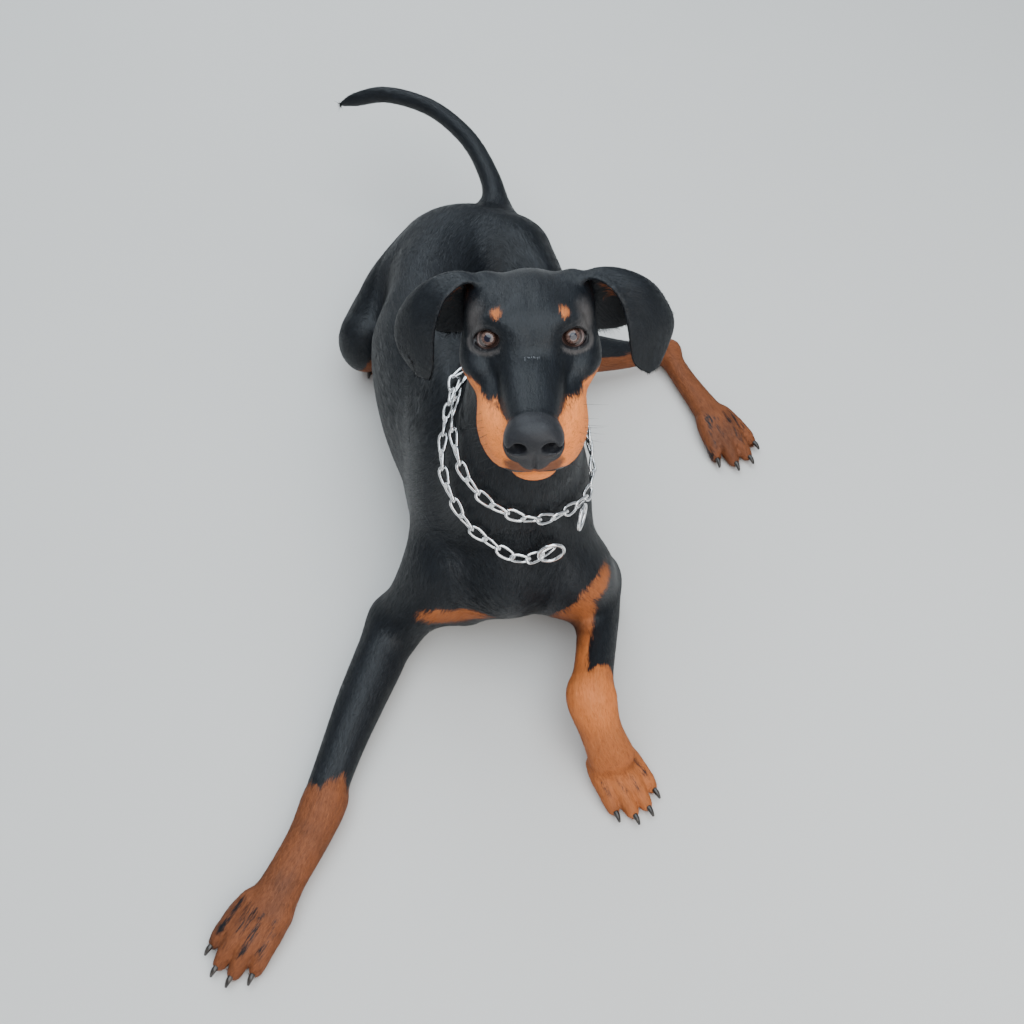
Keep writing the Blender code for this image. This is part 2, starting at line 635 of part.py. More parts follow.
# Where the body is cut. A box takes all flesh inside it that no earlier box has.
CUTS = {
    "tail_tip": tail_box(0.66, 0.16),
    "tail_middle": tail_box(0.40, 0.12),
    "tail_base": tail_box(0.155, 0.10),
    "forepaw_right": Box((-0.1725, 0.292, 0.03), (-0.45, -0.89, 0), 0.06, 0.05, 0.20),
    "forepaw_left": Box((0.0725, 0.3835, 0.045), (0.12, -0.99, -0.1), 0.05, 0.06, 0.16),
    "forearm_right": Box((-0.121, 0.458, 0.025), (-0.33, -0.94, 0), 0.048, 0.045, 0.20),
    "forearm_left": Box((0.088, 0.508, 0.040), (-0.10, -0.99, 0.17), 0.036, 0.037, 0.18),
    "upper_arm_right": Box((-0.074, 0.497, 0.060), (-0.86, -0.22, -0.45), 0.075, 0.066, 0.12),
    "upper_arm_left": Box((0.064, 0.516, 0.060), (0.86, -0.05, -0.45), 0.075, 0.066, 0.10),
    "hind_foot_right": Box((-0.132, 0.950, 0.02), (-0.06, -1, 0), 0.05, 0.05, 0.22),
    "hind_foot_left": Box((0.1855, 0.822, 0.02), (0.42, -0.91, 0), 0.05, 0.05, 0.20),
    "shank_right": Box((-0.150, 0.888, 0.046), (0, 0, -1), 0.075, 0.110, 0.08, level=(0, 1, 0)),
    "shank_left": Box((0.058, 0.790, 0.045), (0.97, 0.22, -0.1), 0.075, 0.075, 0.18),
    "thigh_right": Box((-0.117, 0.872, 0.08), (-0.86, -0.50, 0), 0.100, 0.100, 0.12),
    "thigh_left": Box((0.008, 0.850, 0.08), (0.99, 0.12, 0), 0.110, 0.110, 0.10),
    "head": Box((0.014, 0.5925, 0.320), (0, -0.507, 0.862), 0.13, 0.22, 0.25),
    "neck": Box((0.000, 0.5575, 0.200), (0, -0.435, 0.900), 0.13, 0.15, 0.25),
}
TORSO_BOX = ((-0.19, 0.42, -0.02), (0.12, 0.99, 0.27))
# Grid step and the number of triangles left, node by node.
FINENESS = {
    "torso": (0.0050, 1660),
    "neck": (0.0045, 500),
    "head": (0.0018, 2840),
    "upper_arm": (0.0040, 300),
    "forearm": (0.0035, 300),
    "forepaw": (0.0019, 610),
    "thigh": (0.0045, 300),
    "shank": (0.0035, 260),
    "hind_foot": (0.0019, 590),
    "tail_base": (0.0030, 160),
    "tail_middle": (0.0028, 160),
    "tail_tip": (0.0028, 190),
}

COATED = (0.030, 0.028, 0.030)
TAN = (0.42, 0.20, 0.09)
HORN = (0.020, 0.018, 0.018)
IRIS = (0.26, 0.20, 0.16)
STEEL = (0.75, 0.76, 0.78)


def face_outward(obj):
    bm = bmesh.new()
    bm.from_mesh(obj.data)
    bmesh.ops.recalc_face_normals(bm, faces=bm.faces)
    if bm.calc_volume(signed=True) < 0:
        bmesh.ops.reverse_faces(bm, faces=bm.faces)
    bm.to_mesh(obj.data)
    bm.free()


def apply_modifiers(obj):
    graph = bpy.context.evaluated_depsgraph_get()
    mesh = bpy.data.meshes.new_from_object(obj.evaluated_get(graph))
    obj.modifiers.clear()
    old = obj.data
    obj.data = mesh
    bpy.data.meshes.remove(old)


def cut(obj, tool, kind="DIFFERENCE", solver="MANIFOLD"):
    """One Boolean, applied at once. The tool is used up."""
    m = obj.modifiers.new("cut", "BOOLEAN")
    m.operation, m.solver, m.object = kind, solver, tool
    apply_modifiers(obj)
    bpy.data.objects.remove(tool)


def largest_piece(obj):
    """Leaves the biggest closed shell and drops crumbs that a cut has left."""
    bm = bmesh.new()
    bm.from_mesh(obj.data)
    bmesh.ops.remove_doubles(bm, verts=bm.verts, dist=1e-6)
    seen, shells = set(), []
    for start in bm.faces:
        if start in seen:
            continue
        seen.add(start)
        shell, stack = [start], [start]
        while stack:
            for edge in stack.pop().edges:
                for face in edge.link_faces:
                    if face not in seen:
                        seen.add(face)
                        shell.append(face)
                        stack.append(face)
        shells.append(shell)
    shells.sort(key=lambda shell: -sum(f.calc_area() for f in shell))
    for shell in shells[1:]:
        bmesh.ops.delete(bm, geom=shell, context="FACES")
    bmesh.ops.delete(bm, geom=[v for v in bm.verts if not v.link_faces], context="VERTS")
    bmesh.ops.triangulate(bm, faces=bm.faces)
    bm.to_mesh(obj.data)
    bm.free()
    return [len(shell) for shell in shells[:4]]


def thin(obj, triangles):
    have = sum(len(f.vertices) - 2 for f in obj.data.polygons)
    m = obj.modifiers.new("thin", "DECIMATE")
    m.ratio = min(1.0, triangles / have)
    apply_modifiers(obj)


def settled(field, points, rounds=2):
    """Moves points down the field's slope until they lie on its surface."""
    h = 0.0003
    for _ in range(rounds):
        value = field(points)
        slope = np.stack([field(points + h * axis) - field(points - h * axis) for axis in np.eye(3)], 1) / (2 * h)
        push = value[:, None] * slope / np.maximum(np.sum(slope**2, axis=1), 0.25)[:, None]
        points = points - np.clip(push, -0.001, 0.001)
    return points


def field_object(name, field, low, high, step, triangles):
    points, squares = surface_of(field, low, high, step)
    obj = mesh_object(name, settled(field, points), squares)
    thin(obj, triangles)
    return obj


def finish(obj, colour, roughness=0.6, metallic=0.0):
    material = bpy.data.materials.new(obj.name)
    material.use_nodes = True
    shader = material.node_tree.nodes["Principled BSDF"]
    shader.inputs["Base Color"].default_value = (*colour, 1)
    shader.inputs["Roughness"].default_value = roughness
    shader.inputs["Metallic"].default_value = metallic
    obj.data.materials.clear()
    obj.data.materials.append(material)
    for polygon in obj.data.polygons:
        polygon.use_smooth = True
    obj.data.set_sharp_from_angle(angle=math.radians(50))


def floor_tool():
    return Box((0, 0.65, 0.0), (0, 0, -1), 1.0, 1.0, 0.3, level=(0, 1, 0)).shell("under", 0.0)


def foot_field(hand):
    """A hind foot alone, from heel to toes, as it lies under the shank."""

    def field(points):
        foot = tube(points, HIND_FOOT[hand], side=(1, 0, 0), count=14, margin=0.03)
        return soft_min(foot, paw(points, "hindpaw_" + hand), 0.009)

    return field


def flesh_node(name, field=head_field, avoid=None):
    """One stretch of the body: its field inside its box, thinned, then cut flat along every box it meets."""
    order = list(CUTS)
    box = CUTS.get(name)
    low, high = TORSO_BOX if box is None else box.bounds()
    low = np.maximum(np.asarray(low) - 0.012, (-0.34, 0.10, -0.012))
    high = np.minimum(np.asarray(high) + 0.012, (0.34, 1.20, 0.46))
    middle, half = (low + high) / 2, (high - low) / 2 - 0.004

    def bounded(points):
        wall = np.max(np.abs(points - middle) - half, axis=1)
        d = np.maximum(field(points), wall)
        if avoid is not None:
            d = np.maximum(d, FOOT_ROOM - avoid(points))
        if box is not None:
            near = np.max(np.abs((points - box.centre) @ box.axes.T) - box.half, axis=1)
            d = np.maximum(d, near - 0.006)
        return d

    kind = name if name in FINENESS else name.rsplit("_", 1)[0]
    step, triangles = FINENESS[kind]
    obj = field_object(name, bounded, low, high, step, triangles)
    if box is not None:
        cut(obj, box.shell("keep", 0.0), "INTERSECT")
    for other in order[: order.index(name)] if box is not None else order:
        a, b = CUTS[other].bounds()
        if name.startswith("hind_foot") or np.any(a > high) or np.any(b < low):
            continue
        if avoid is not None and other.startswith("hind_foot"):
            continue
        cut(obj, CUTS[other].shell("leave", GAP))
    cut(obj, floor_tool())
    largest_piece(obj)
    return obj


def ear_node(hand):
    """A bent sheet with an even thickness and closed edges, ending at the head's skin."""
    grid = ear_sheet(hand, rows=13, columns=8)
    rows, columns = grid.shape[:2]
    du, dv = np.gradient(grid, axis=0), np.gradient(grid, axis=1)
    side = unit(np.cross(du, dv))
    thick = np.full((rows, columns, 1), EAR_HALF)
    thick[:, (0, -1)] *= 0.55
    thick[-1] *= 0.55
    front, back = grid + side * thick, grid - side * thick
    points = np.concatenate([front.reshape(-1, 3), back.reshape(-1, 3)])
    one = rows * columns
    faces = []
    for r in range(rows - 1):
        for c in range(columns - 1):
            a = r * columns + c
            faces.append((a, a + 1, a + 1 + columns, a + columns))
            faces.append((one + a, one + a + columns, one + a + 1 + columns, one + a + 1))
    loop = [c for c in range(columns)] + [r * columns + columns - 1 for r in range(1, rows)]
    loop += [(rows - 1) * columns + c for c in range(columns - 2, -1, -1)]
    loop += [r * columns for r in range(rows - 2, 0, -1)]
    for a, b in zip(loop, loop[1:] + loop[:1]):
        faces.append((a, b, one + b, one + a))
    name = "ear_left" if hand > 0 else "ear_right"
    obj = mesh_object(name, points, faces)
    face_outward(obj)
    low, high = grid.reshape(-1, 3).min(0) - 0.01, grid.reshape(-1, 3).max(0) + 0.01

    def skin_near(p):
        wall = np.max(np.abs(p - (low + high) / 2) - (high - low) / 2 + 0.002, axis=1)
        return np.maximum(head_field(p) - GAP, wall)

    cut(obj, field_object("skin", skin_near, low - 0.004, high + 0.004, 0.003, 1500))
    largest_piece(obj)
    return obj


def ball(name, centre, radius, segments=16, rings=10):
    bm = bmesh.new()
    bmesh.ops.create_uvsphere(bm, u_segments=segments, v_segments=rings, radius=radius)
    mesh = bpy.data.meshes.new(name)
    bm.to_mesh(mesh)
    bm.free()
    obj = bpy.data.objects.new(name, mesh)
    bpy.context.scene.collection.objects.link(obj)
    mesh.transform(Matrix.Translation(Vector(centre)))
    return obj


def ring_tube(name, centre, radius, around=8, closed=True, wide=None):
    """A tube along a line of points. A closed one returns to its first point, an open one has flat ends."""
    centre = np.asarray(centre, float)
    n = len(centre)
    if closed:
        along = unit(np.roll(centre, -1, 0) - np.roll(centre, 1, 0))
    else:
        along = unit(np.gradient(centre, axis=0))
    up = wide if wide is not None else (0, 0, 1)
    across = unit(np.cross(along, up))
    rise = np.cross(across, along)
    angle = np.linspace(0, 2 * np.pi, around, endpoint=False)
    radius = np.broadcast_to(np.asarray(radius, float), (n,))[:, None, None]
    points = centre[:, None] + radius * (
        np.cos(angle)[None, :, None] * across[:, None] + np.sin(angle)[None, :, None] * rise[:, None]
    )
    faces = []
    for i in range(n if closed else n - 1):
        a, b = i * around, (i + 1) % n * around
        for j in range(around):
            k = (j + 1) % around
            faces.append((a + j, a + k, b + k, b + j))
    if not closed:
        faces.append(tuple(range(around)))
        faces.append(tuple(range((n - 1) * around, n * around)))
    obj = mesh_object(name, points.reshape(-1, 3), faces)
    face_outward(obj)
    return obj


def claw_line(rows, count=5):
    """The middle line of a claw: out of the toe's tip, down and ahead."""
    root, tip = np.array(rows[2][:3]), np.array(rows[3][:3])
    ahead = unit((tip - root) * (1, 1, 0))
    base = tip + [0, 0, 0.0018]
    t = np.linspace(-0.3, 1, count)[:, None]
    return base + ahead * (0.0062 + 0.0068 * t) + np.array((0, 0, 1.0)) * (0.0012 - 0.0040 * np.maximum(t, 0) ** 2)


CLAW_RADII = np.array((0.0022, 0.0026, 0.0026, 0.0021, 0.0010))


def collar_point(turn, height, out):
    """A point outside the neck at an angle and a height: found by halving along a level ray from the neck's middle."""
    middle = np.array((0.007, 0.560))
    a = np.radians(turn)
    level = np.stack([np.cos(a), np.sin(a)], 1)
    near, far = np.zeros(len(a)), np.full(len(a), 0.16)
    for _ in range(24):
        r = (near + far) / 2
        p = np.column_stack([middle + level * r[:, None], height])
        inside = head_field(p) < out
        near, far = np.where(inside, r, near), np.where(inside, far, r)
    return np.column_stack([middle + level * far[:, None], height])


# The chain winds twice round the neck: angle (0 the dog's left, -90 its front) and height.
CHAIN = (
    (-66, 0.1600), (-78, 0.1605), (-90, 0.1650), (-101, 0.1735), (-112, 0.1830), (-124, 0.1935), (-134, 0.2045),
    (-145, 0.2115), (-155, 0.2175), (-170, 0.2265), (-180, 0.2325), (-215, 0.2400), (-260, 0.2360), (-300, 0.2200),
    (-335, 0.2000), (-360, 0.1885), (-384, 0.1850), (-398, 0.1890), (-411, 0.1945), (-422, 0.1985), (-439, 0.2075),
    (-455, 0.2175), (-467, 0.2240), (-477, 0.2290), (-487, 0.2345), (-498, 0.2395), (-514, 0.2480), (-540, 0.2560),
    (-575, 0.2600), (-620, 0.2540), (-660, 0.2370), (-690, 0.2190), (-712, 0.2060),
)
WIRE = 0.0015
LINK_LONG = 0.0200
LINK_WIDE = 0.0115
LINK_PITCH = 0.0146
LINK_OUT = 0.0042
LINK_CLEAR = 0.0012
RING_RADIUS = 0.0130
# Each ring hooks into the link nearest to a place. From there it hangs along a heading, with its face turned a way.
RINGS = (
    (np.array((0.024, 0.484, 0.160)), (0.93, 0.20, 0.12), (0.25, -0.96, 0.10)),
    (np.array((0.056, 0.521, 0.187)), (-0.14, -0.50, -0.85), (0.90, -0.25, 0.10)),
)


def collar_links():
    """Middle, run and outward direction of each link, a pitch apart along the chain."""
    keys = curve_through(CHAIN, 400)
    line = collar_point(keys[:, 0], keys[:, 1], LINK_OUT)
    length = np.concatenate([[0], np.cumsum(np.linalg.norm(np.diff(line, axis=0), axis=1))])
    count = int(length[-1] / LINK_PITCH)
    at = np.linspace(0, length[-1], count + 1)
    place = np.stack([np.interp(at, length, line[:, i]) for i in range(3)], 1)
    middle = (place[1:] + place[:-1]) / 2
    run = unit(place[1:] - place[:-1])
    h = 0.002
    out = unit(np.stack([head_field(middle + h * e) - head_field(middle - h * e) for e in np.eye(3)], 1))
    out = unit(out - np.sum(out * run, axis=1)[:, None] * run)
    return middle, run, out


def link_line(middle, run, out, lean, long, wide, count=8, square=2.6):
    """An oval of wire whose plane leans by an angle from the skin."""
    across = np.cross(out, run)
    c, s = math.cos(lean), math.sin(lean)
    flat = across * c + out * s
    t = np.linspace(0, 2 * np.pi, count, endpoint=False)
    round_off = (np.abs(np.cos(t)) ** square + np.abs(np.sin(t)) ** square) ** (-1 / square)
    x = np.cos(t) * round_off * (long / 2 - WIRE)
    y = np.sin(t) * round_off * (wide / 2 - WIRE)
    return middle + x[:, None] * run + y[:, None] * flat, np.cross(run, flat)


def clear_of_skin(line, away, room):
    """Moves a line of points away until every one of them has room between it and the skin."""
    for _ in range(6):
        line = line + away * max(0.0, room - head_field(line).min())
    return line


def collar_node():
    """The chain, its links fused where they hook into each other, and the ring at each of its ends."""
    middle, run, out = collar_links()
    lines = []
    for i in range(len(middle)):
        lean = math.radians(19 if i % 2 else -19)
        line, face = link_line(middle[i], run[i], out[i], lean, LINK_LONG, LINK_WIDE)
        line = clear_of_skin(line, out[i], WIRE * 1.18 + LINK_CLEAR)
        lines.append((line, face, WIRE * 1.18, 4))
    for at, heading, face in RINGS:
        nearest = np.argmin(np.linalg.norm(middle - at, axis=1))
        start = middle[nearest] + unit(heading) * 0.0030
        face = unit(np.asarray(face) - np.dot(face, unit(heading)) * unit(heading))
        side = np.cross(face, unit(heading))
        centre = start + unit(heading) * (RING_RADIUS - WIRE)
        t = np.linspace(0, 2 * np.pi, 14, endpoint=False)[:, None]
        ring = centre + (unit(heading) * np.cos(t) + side * np.sin(t)) * (RING_RADIUS - WIRE)
        ring = clear_of_skin(ring, out[nearest], WIRE * 1.2 + LINK_CLEAR)
        lines.append((ring, face, WIRE * 1.2, 5))
    collar = None
    for line, face, wire, around in lines:
        one = ring_tube("link", line, wire, around=around, wide=face)
        if collar is None:
            collar = one
            collar.name = "collar"
        else:
            cut(collar, one, "UNION")
    largest_piece(collar)
    thin(collar, 3700)
    largest_piece(collar)
    return collar


def main():
    for obj in list(bpy.data.objects):
        bpy.data.objects.remove(obj)
    made = []
    for name in ["torso"] + list(CUTS):
        if name == "hind_foot_right":
            obj = flesh_node(name, field=foot_field("right"))
        elif name in ("shank_right", "thigh_right"):
            obj = flesh_node(name, avoid=foot_field("right"))
        else:
            obj = flesh_node(name)
        made.append(obj)
    nodes = {obj.name: obj for obj in made}
    for hand, sign in (("left", 1), ("right", -1)):
        centre = from_head(EYE_BALL * (sign, 1, 1))
        cut(nodes["head"], ball("socket", centre, EYE_RADIUS + 0.0006, 24, 16))
        eye = ball("eye_" + hand, centre, EYE_RADIUS)
        finish(eye, IRIS, 0.05)
        finish(ear_node(sign), COATED)
    for foot in FEET:
        owner = nodes["hind_foot" + foot[7:]] if foot.startswith("hind") else nodes[foot]
        for i, rows in enumerate(toes_of(foot)):
            line = claw_line(rows)
            cut(owner, ring_tube("bed", line, CLAW_RADII + 0.0006, around=6, closed=False))
            claw = ring_tube("claw_%s_%d" % (foot.replace("paw", ""), i + 1), line, CLAW_RADII, around=5, closed=False)
            finish(claw, HORN, 0.35)
        largest_piece(owner)
    largest_piece(nodes["head"])
    finish(collar_node(), STEEL, 0.2, 1.0)
    for name, obj in nodes.items():
        tan = name.startswith(("forepaw", "hind_foot"))
        finish(obj, TAN if tan else COATED)
    for obj in bpy.data.objects:
        obj.data.transform(Matrix.Translation(-Vector(MIDDLE)))


if __name__ == "__main__":
    main()
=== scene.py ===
"""The looks of a young doberman pinscher that lies on its chest and looks up.

The skin is the solids' own distance field, worked out finer and set in by the depth of the coat. The coat is
short hairs over it, each a slim closed wedge. Both read their markings and their lie from the same functions
of place.
"""

import math
from concurrent.futures import ThreadPoolExecutor

import bmesh
import bpy
import numpy as np
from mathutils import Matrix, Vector
from mathutils.bvhtree import BVHTree


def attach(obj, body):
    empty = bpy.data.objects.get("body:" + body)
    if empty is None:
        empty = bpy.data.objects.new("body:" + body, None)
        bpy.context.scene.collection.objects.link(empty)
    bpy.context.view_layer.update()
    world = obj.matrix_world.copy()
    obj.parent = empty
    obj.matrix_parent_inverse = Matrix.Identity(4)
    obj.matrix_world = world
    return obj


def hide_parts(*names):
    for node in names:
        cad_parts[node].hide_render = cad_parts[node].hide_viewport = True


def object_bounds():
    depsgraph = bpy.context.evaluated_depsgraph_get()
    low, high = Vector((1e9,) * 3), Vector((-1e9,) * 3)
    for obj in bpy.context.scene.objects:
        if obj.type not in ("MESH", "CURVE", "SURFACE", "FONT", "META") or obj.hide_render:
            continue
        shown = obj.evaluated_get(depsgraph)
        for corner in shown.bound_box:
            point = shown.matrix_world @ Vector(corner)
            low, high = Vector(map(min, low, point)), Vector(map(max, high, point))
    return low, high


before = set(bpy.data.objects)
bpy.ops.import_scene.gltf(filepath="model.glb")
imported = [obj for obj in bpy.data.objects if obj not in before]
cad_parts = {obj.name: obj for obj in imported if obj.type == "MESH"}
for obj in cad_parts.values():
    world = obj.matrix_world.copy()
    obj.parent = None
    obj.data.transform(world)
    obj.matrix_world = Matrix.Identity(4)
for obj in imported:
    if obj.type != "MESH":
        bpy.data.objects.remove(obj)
solids_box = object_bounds()

HANDS = ("left", "right")
# The distance that a field gives to points far from it, and the depth of points far outside a marking.
FAR = 1.0
OUTSIDE = -0.01
# The middle of the whole model on the floor, in the frame that the rows below are written in.
MIDDLE = np.array((0.00576, 0.64816, 0.0))

# The trunk, from the point of the chest to the rump: x, y, z, half width, half height, roll in degrees.
TRUNK = (
    (-0.004, 0.500, 0.104, 0.044, 0.054, 0),
    (-0.008, 0.536, 0.110, 0.062, 0.090, 2),
    (-0.024, 0.600, 0.108, 0.076, 0.111, 3),
    (-0.052, 0.675, 0.104, 0.080, 0.107, 5),
    (-0.074, 0.742, 0.104, 0.073, 0.094, 8),
    (-0.086, 0.802, 0.106, 0.060, 0.074, 11),
    (-0.078, 0.856, 0.106, 0.055, 0.062, 14),
    (-0.048, 0.908, 0.094, 0.060, 0.062, 16),
    (-0.026, 0.940, 0.085, 0.040, 0.046, 16),
)
# The neck, from between the shoulders to the back of the skull: x, y, z, half width, half depth.
NECK = (
    (-0.014, 0.585, 0.135, 0.068, 0.082),
    (-0.002, 0.560, 0.185, 0.063, 0.073),
    (0.007, 0.560, 0.235, 0.056, 0.062),
    (0.013, 0.578, 0.290, 0.048, 0.050),
    (0.014, 0.584, 0.318, 0.040, 0.038),
)
# Ovals that fill the chest between the forelegs: middle and radii.
BREAST = (
    ((-0.046, 0.500, 0.066), (0.036, 0.036, 0.050)),
    ((0.040, 0.508, 0.074), (0.034, 0.034, 0.048)),
)
# Ovals that are cut out of the flanks: middle and radii.
HOLLOWS = (
    ((0.002, 0.836, 0.176), (0.024, 0.036, 0.036)),
    ((-0.160, 0.812, 0.150), (0.024, 0.034, 0.036)),
)
# The tail, from root to tip, in the columns of the neck.
TAIL = (
    (-0.030, 0.925, 0.105, 0.021, 0.020),
    (-0.018, 0.962, 0.120, 0.0150, 0.0145),
    (-0.030, 1.008, 0.134, 0.0120, 0.0120),
    (-0.055, 1.055, 0.143, 0.0110, 0.0110),
    (-0.097, 1.098, 0.148, 0.0104, 0.0104),
    (-0.150, 1.128, 0.143, 0.0100, 0.0100),
    (-0.188, 1.137, 0.130, 0.0090, 0.0090),
    (-0.208, 1.140, 0.121, 0.0042, 0.0042),
)

# Limbs, from the body outward, in the columns of the neck. Left is the dog's own left, which has x positive.
SHOULDER = {
    "left": (
        (0.018, 0.632, 0.190, 0.018, 0.046),
        (0.042, 0.562, 0.148, 0.023, 0.042),
        (0.056, 0.506, 0.088, 0.022, 0.032),
    ),
    "right": (
        (-0.058, 0.640, 0.186, 0.018, 0.046),
        (-0.064, 0.575, 0.143, 0.022, 0.042),
        (-0.062, 0.512, 0.100, 0.025, 0.036),
    ),
}
UPPER_ARM = {
    "left": (
        (0.062, 0.502, 0.078, 0.027, 0.030),
        (0.073, 0.512, 0.064, 0.026, 0.032),
        (0.085, 0.526, 0.034, 0.021, 0.026),
    ),
    "right": (
        (-0.062, 0.510, 0.096, 0.030, 0.036),
        (-0.085, 0.492, 0.064, 0.032, 0.034),
        (-0.109, 0.478, 0.034, 0.026, 0.028),
    ),
}
FOREARM = {
    "left": (
        (0.086, 0.527, 0.027, 0.020, 0.026),
        (0.0835, 0.490, 0.042, 0.0225, 0.024),
        (0.080, 0.449, 0.056, 0.0200, 0.0200),
        (0.0740, 0.406, 0.071, 0.0195, 0.0180),
        (0.0710, 0.382, 0.078, 0.0240, 0.0185),
        (0.0790, 0.360, 0.058, 0.0205, 0.0155),
        (0.0905, 0.343, 0.034, 0.0220, 0.0145),
    ),
    "right": (
        (-0.116, 0.482, 0.027, 0.025, 0.028),
        (-0.126, 0.446, 0.027, 0.0250, 0.027),
        (-0.142, 0.401, 0.025, 0.0230, 0.0235),
        (-0.156, 0.357, 0.023, 0.0200, 0.0200),
        (-0.166, 0.322, 0.021, 0.0190, 0.0180),
        (-0.169, 0.304, 0.021, 0.0215, 0.0185),
        (-0.180, 0.273, 0.0195, 0.0195, 0.0160),
        (-0.197, 0.238, 0.0180, 0.0190, 0.0145),
        (-0.208, 0.214, 0.0175, 0.0220, 0.0140),
    ),
}
THIGH = {
    "left": (
        (0.002, 0.895, 0.100, 0.046, 0.056),
        (0.026, 0.846, 0.088, 0.038, 0.052),
        (0.030, 0.790, 0.070, 0.028, 0.038),
    ),
    "right": (
        (-0.088, 0.908, 0.084, 0.044, 0.056),
        (-0.128, 0.868, 0.074, 0.040, 0.056),
        (-0.156, 0.825, 0.062, 0.030, 0.042),
    ),
}
SHANK = {
    "left": (
        (0.030, 0.786, 0.066, 0.027, 0.031),
        (0.078, 0.800, 0.053, 0.0215, 0.0265),
        (0.127, 0.812, 0.037, 0.0150, 0.0190),
        (0.162, 0.825, 0.026, 0.0110, 0.0150),
        (0.180, 0.831, 0.019, 0.0120, 0.0160),
    ),
    "right": (
        (-0.166, 0.812, 0.054, 0.025, 0.030),
        (-0.162, 0.858, 0.050, 0.020, 0.024),
        (-0.150, 0.905, 0.038, 0.0150, 0.0180),
        (-0.137, 0.945, 0.026, 0.0115, 0.0160),
        (-0.131, 0.962, 0.020, 0.0120, 0.0160),
    ),
}
# The way that a shank's half width is measured.
SHANK_SIDE = {"left": (0, 1, 0), "right": (1, 0, 0)}
HIND_FOOT = {
    "left": (
        (0.180, 0.832, 0.0165, 0.0120, 0.0150),
        (0.194, 0.800, 0.0145, 0.0125, 0.0125),
        (0.210, 0.768, 0.0140, 0.0145, 0.0125),
        (0.2255, 0.738, 0.0135, 0.0180, 0.0130),
    ),
    "right": (
        (-0.131, 0.963, 0.0165, 0.0120, 0.0150),
        (-0.135, 0.925, 0.0140, 0.0120, 0.0120),
        (-0.141, 0.890, 0.0130, 0.0140, 0.0120),
        (-0.147, 0.865, 0.0130, 0.0170, 0.0120),
    ),
}
# Feet: where the toes part, the foot's heading in degrees (0 towards the viewer, + to the left), the room
# from toe to toe, and how many degrees each toe is turned from the next.
FEET = {
    "forepaw_left": ((0.0975, 0.334, 0.0), 30, 0.0138, 4),
    "forepaw_right": ((-0.222, 0.197, 0.0), -31, 0.0148, 4),
    "hindpaw_left": ((0.2335, 0.722, 0.0), 28, 0.0132, 9),
    "hindpaw_right": ((-0.150, 0.850, 0.0), -10, 0.0125, 4),
}
# Toes, the two middle ones (True) and the two outer ones: length, rise of the knuckle and half width.
TOES = {True: (0.036, 0.0225, 0.0085), False: (0.027, 0.0200, 0.0080)}
# Ears: rows from root to tip in head millimetres, each from the front edge round the outside to the back.
EAR_ROWS = {
    "right": (
        ((31, -40, 21), (33, -52, 20), (36, -60, 4), (36, -56, -22)),
        ((48, -35.5, 28.5), (53, -50, 28.5), (58, -65, 8), (52, -60, -27)),
        ((63, -27, 21), (71, -45, 27), (76, -63, 5), (66, -62, -29)),
        ((70, -23, 9), (83, -40, 19), (92, -59, 2), (82, -63, -26)),
        ((74.5, -21, -7), (91, -35, 4), (103, -53, -8), (96, -62, -26)),
        ((76.5, -21, -25), (93, -31, -15), (106, -46, -22), (101, -56, -36)),
        ((78, -23, -40), (91, -29, -34), (102, -40, -36), (99, -48, -44)),
        ((81, -27, -51), (86, -29, -51), (91, -33, -51), (90, -37, -52)),
    ),
    "left": (
        ((31, -40, 21), (33, -52, 20), (36, -60, 4), (36, -56, -22)),
        ((48, -37, 28.5), (54, -50, 28.5), (60, -65, 8), (53, -60, -28)),
        ((62, -30, 24), (73, -47, 28), (80, -63, 6), (71, -63, -29)),
        ((71, -25, 12), (88, -42, 21), (98, -59, 4), (90, -64, -23)),
        ((76, -22, -6), (96, -37, 6), (109, -53, -6), (103, -63, -22)),
        ((79, -22, -24), (99, -33, -13), (113.5, -47, -19), (109, -57, -31)),
        ((83, -24, -40), (97, -31, -33), (109, -41, -35), (106, -49, -42)),
        ((94, -29, -52), (98, -31, -51), (102, -34, -50), (101, -37, -51)),
    ),
}

# The head's own frame stands between the pupils: s to its left, f along the muzzle, h up.
EYE_MIDDLE = np.array((0.0138, 0.5465, 0.372))
# Pitch, roll and yaw in degrees.
HEAD_TURN = (18.0, 1.2, 0.5)
# The ball of the eye in the head's frame, and the way that its lids face.
EYE_BALL = np.array((0.0300, -0.0015, -0.0010))
EYE_RADIUS = 0.0112
EYE_OUT = np.array((0.34, 0.85, 0.38))
# The opening between the lids: half its length, half its height, its slant and how its corners draw in.
LID_LONG, LID_HIGH, LID_SLANT, LID_CORNER = 0.0126, 0.0066, 0.20, 0.10
# How far the lids reach beyond the ball, and how far before its middle their opening begins.
LID_REACH, LID_BACK = 0.0045, 0.004


def unit(v):
    """Vectors of length one that point the same way."""
    v = np.asarray(v, float)
    return v / np.linalg.norm(v, axis=-1, keepdims=True)


def curve_through(rows, count):
    """Evenly timed points of a smooth curve through the rows, whatever their columns.

    Between two rows it is a cubic, whose slope at each row is half the step between the rows beside it.
    """
    p = np.asarray(rows, float)
    ends = np.vstack([2 * p[0] - p[1], p, 2 * p[-1] - p[-2]])
    t = np.linspace(0, len(p) - 1, count)
    i = np.minimum(t.astype(int), len(p) - 2)
    f = (t - i)[:, None]
    a, b, c, d = ends[i], ends[i + 1], ends[i + 2], ends[i + 3]
    return 0.5 * (2 * b + (c - a) * f + (2 * a - 5 * b + 4 * c - d) * f**2 + (3 * b - 3 * c + d - a) * f**3)


def soft_min(a, b, k):
    """The lesser of two distances, with the corner between them filled over a width k."""
    h = np.maximum(k - np.abs(a - b), 0) / k
    return np.minimum(a, b) - h * h * k * 0.25


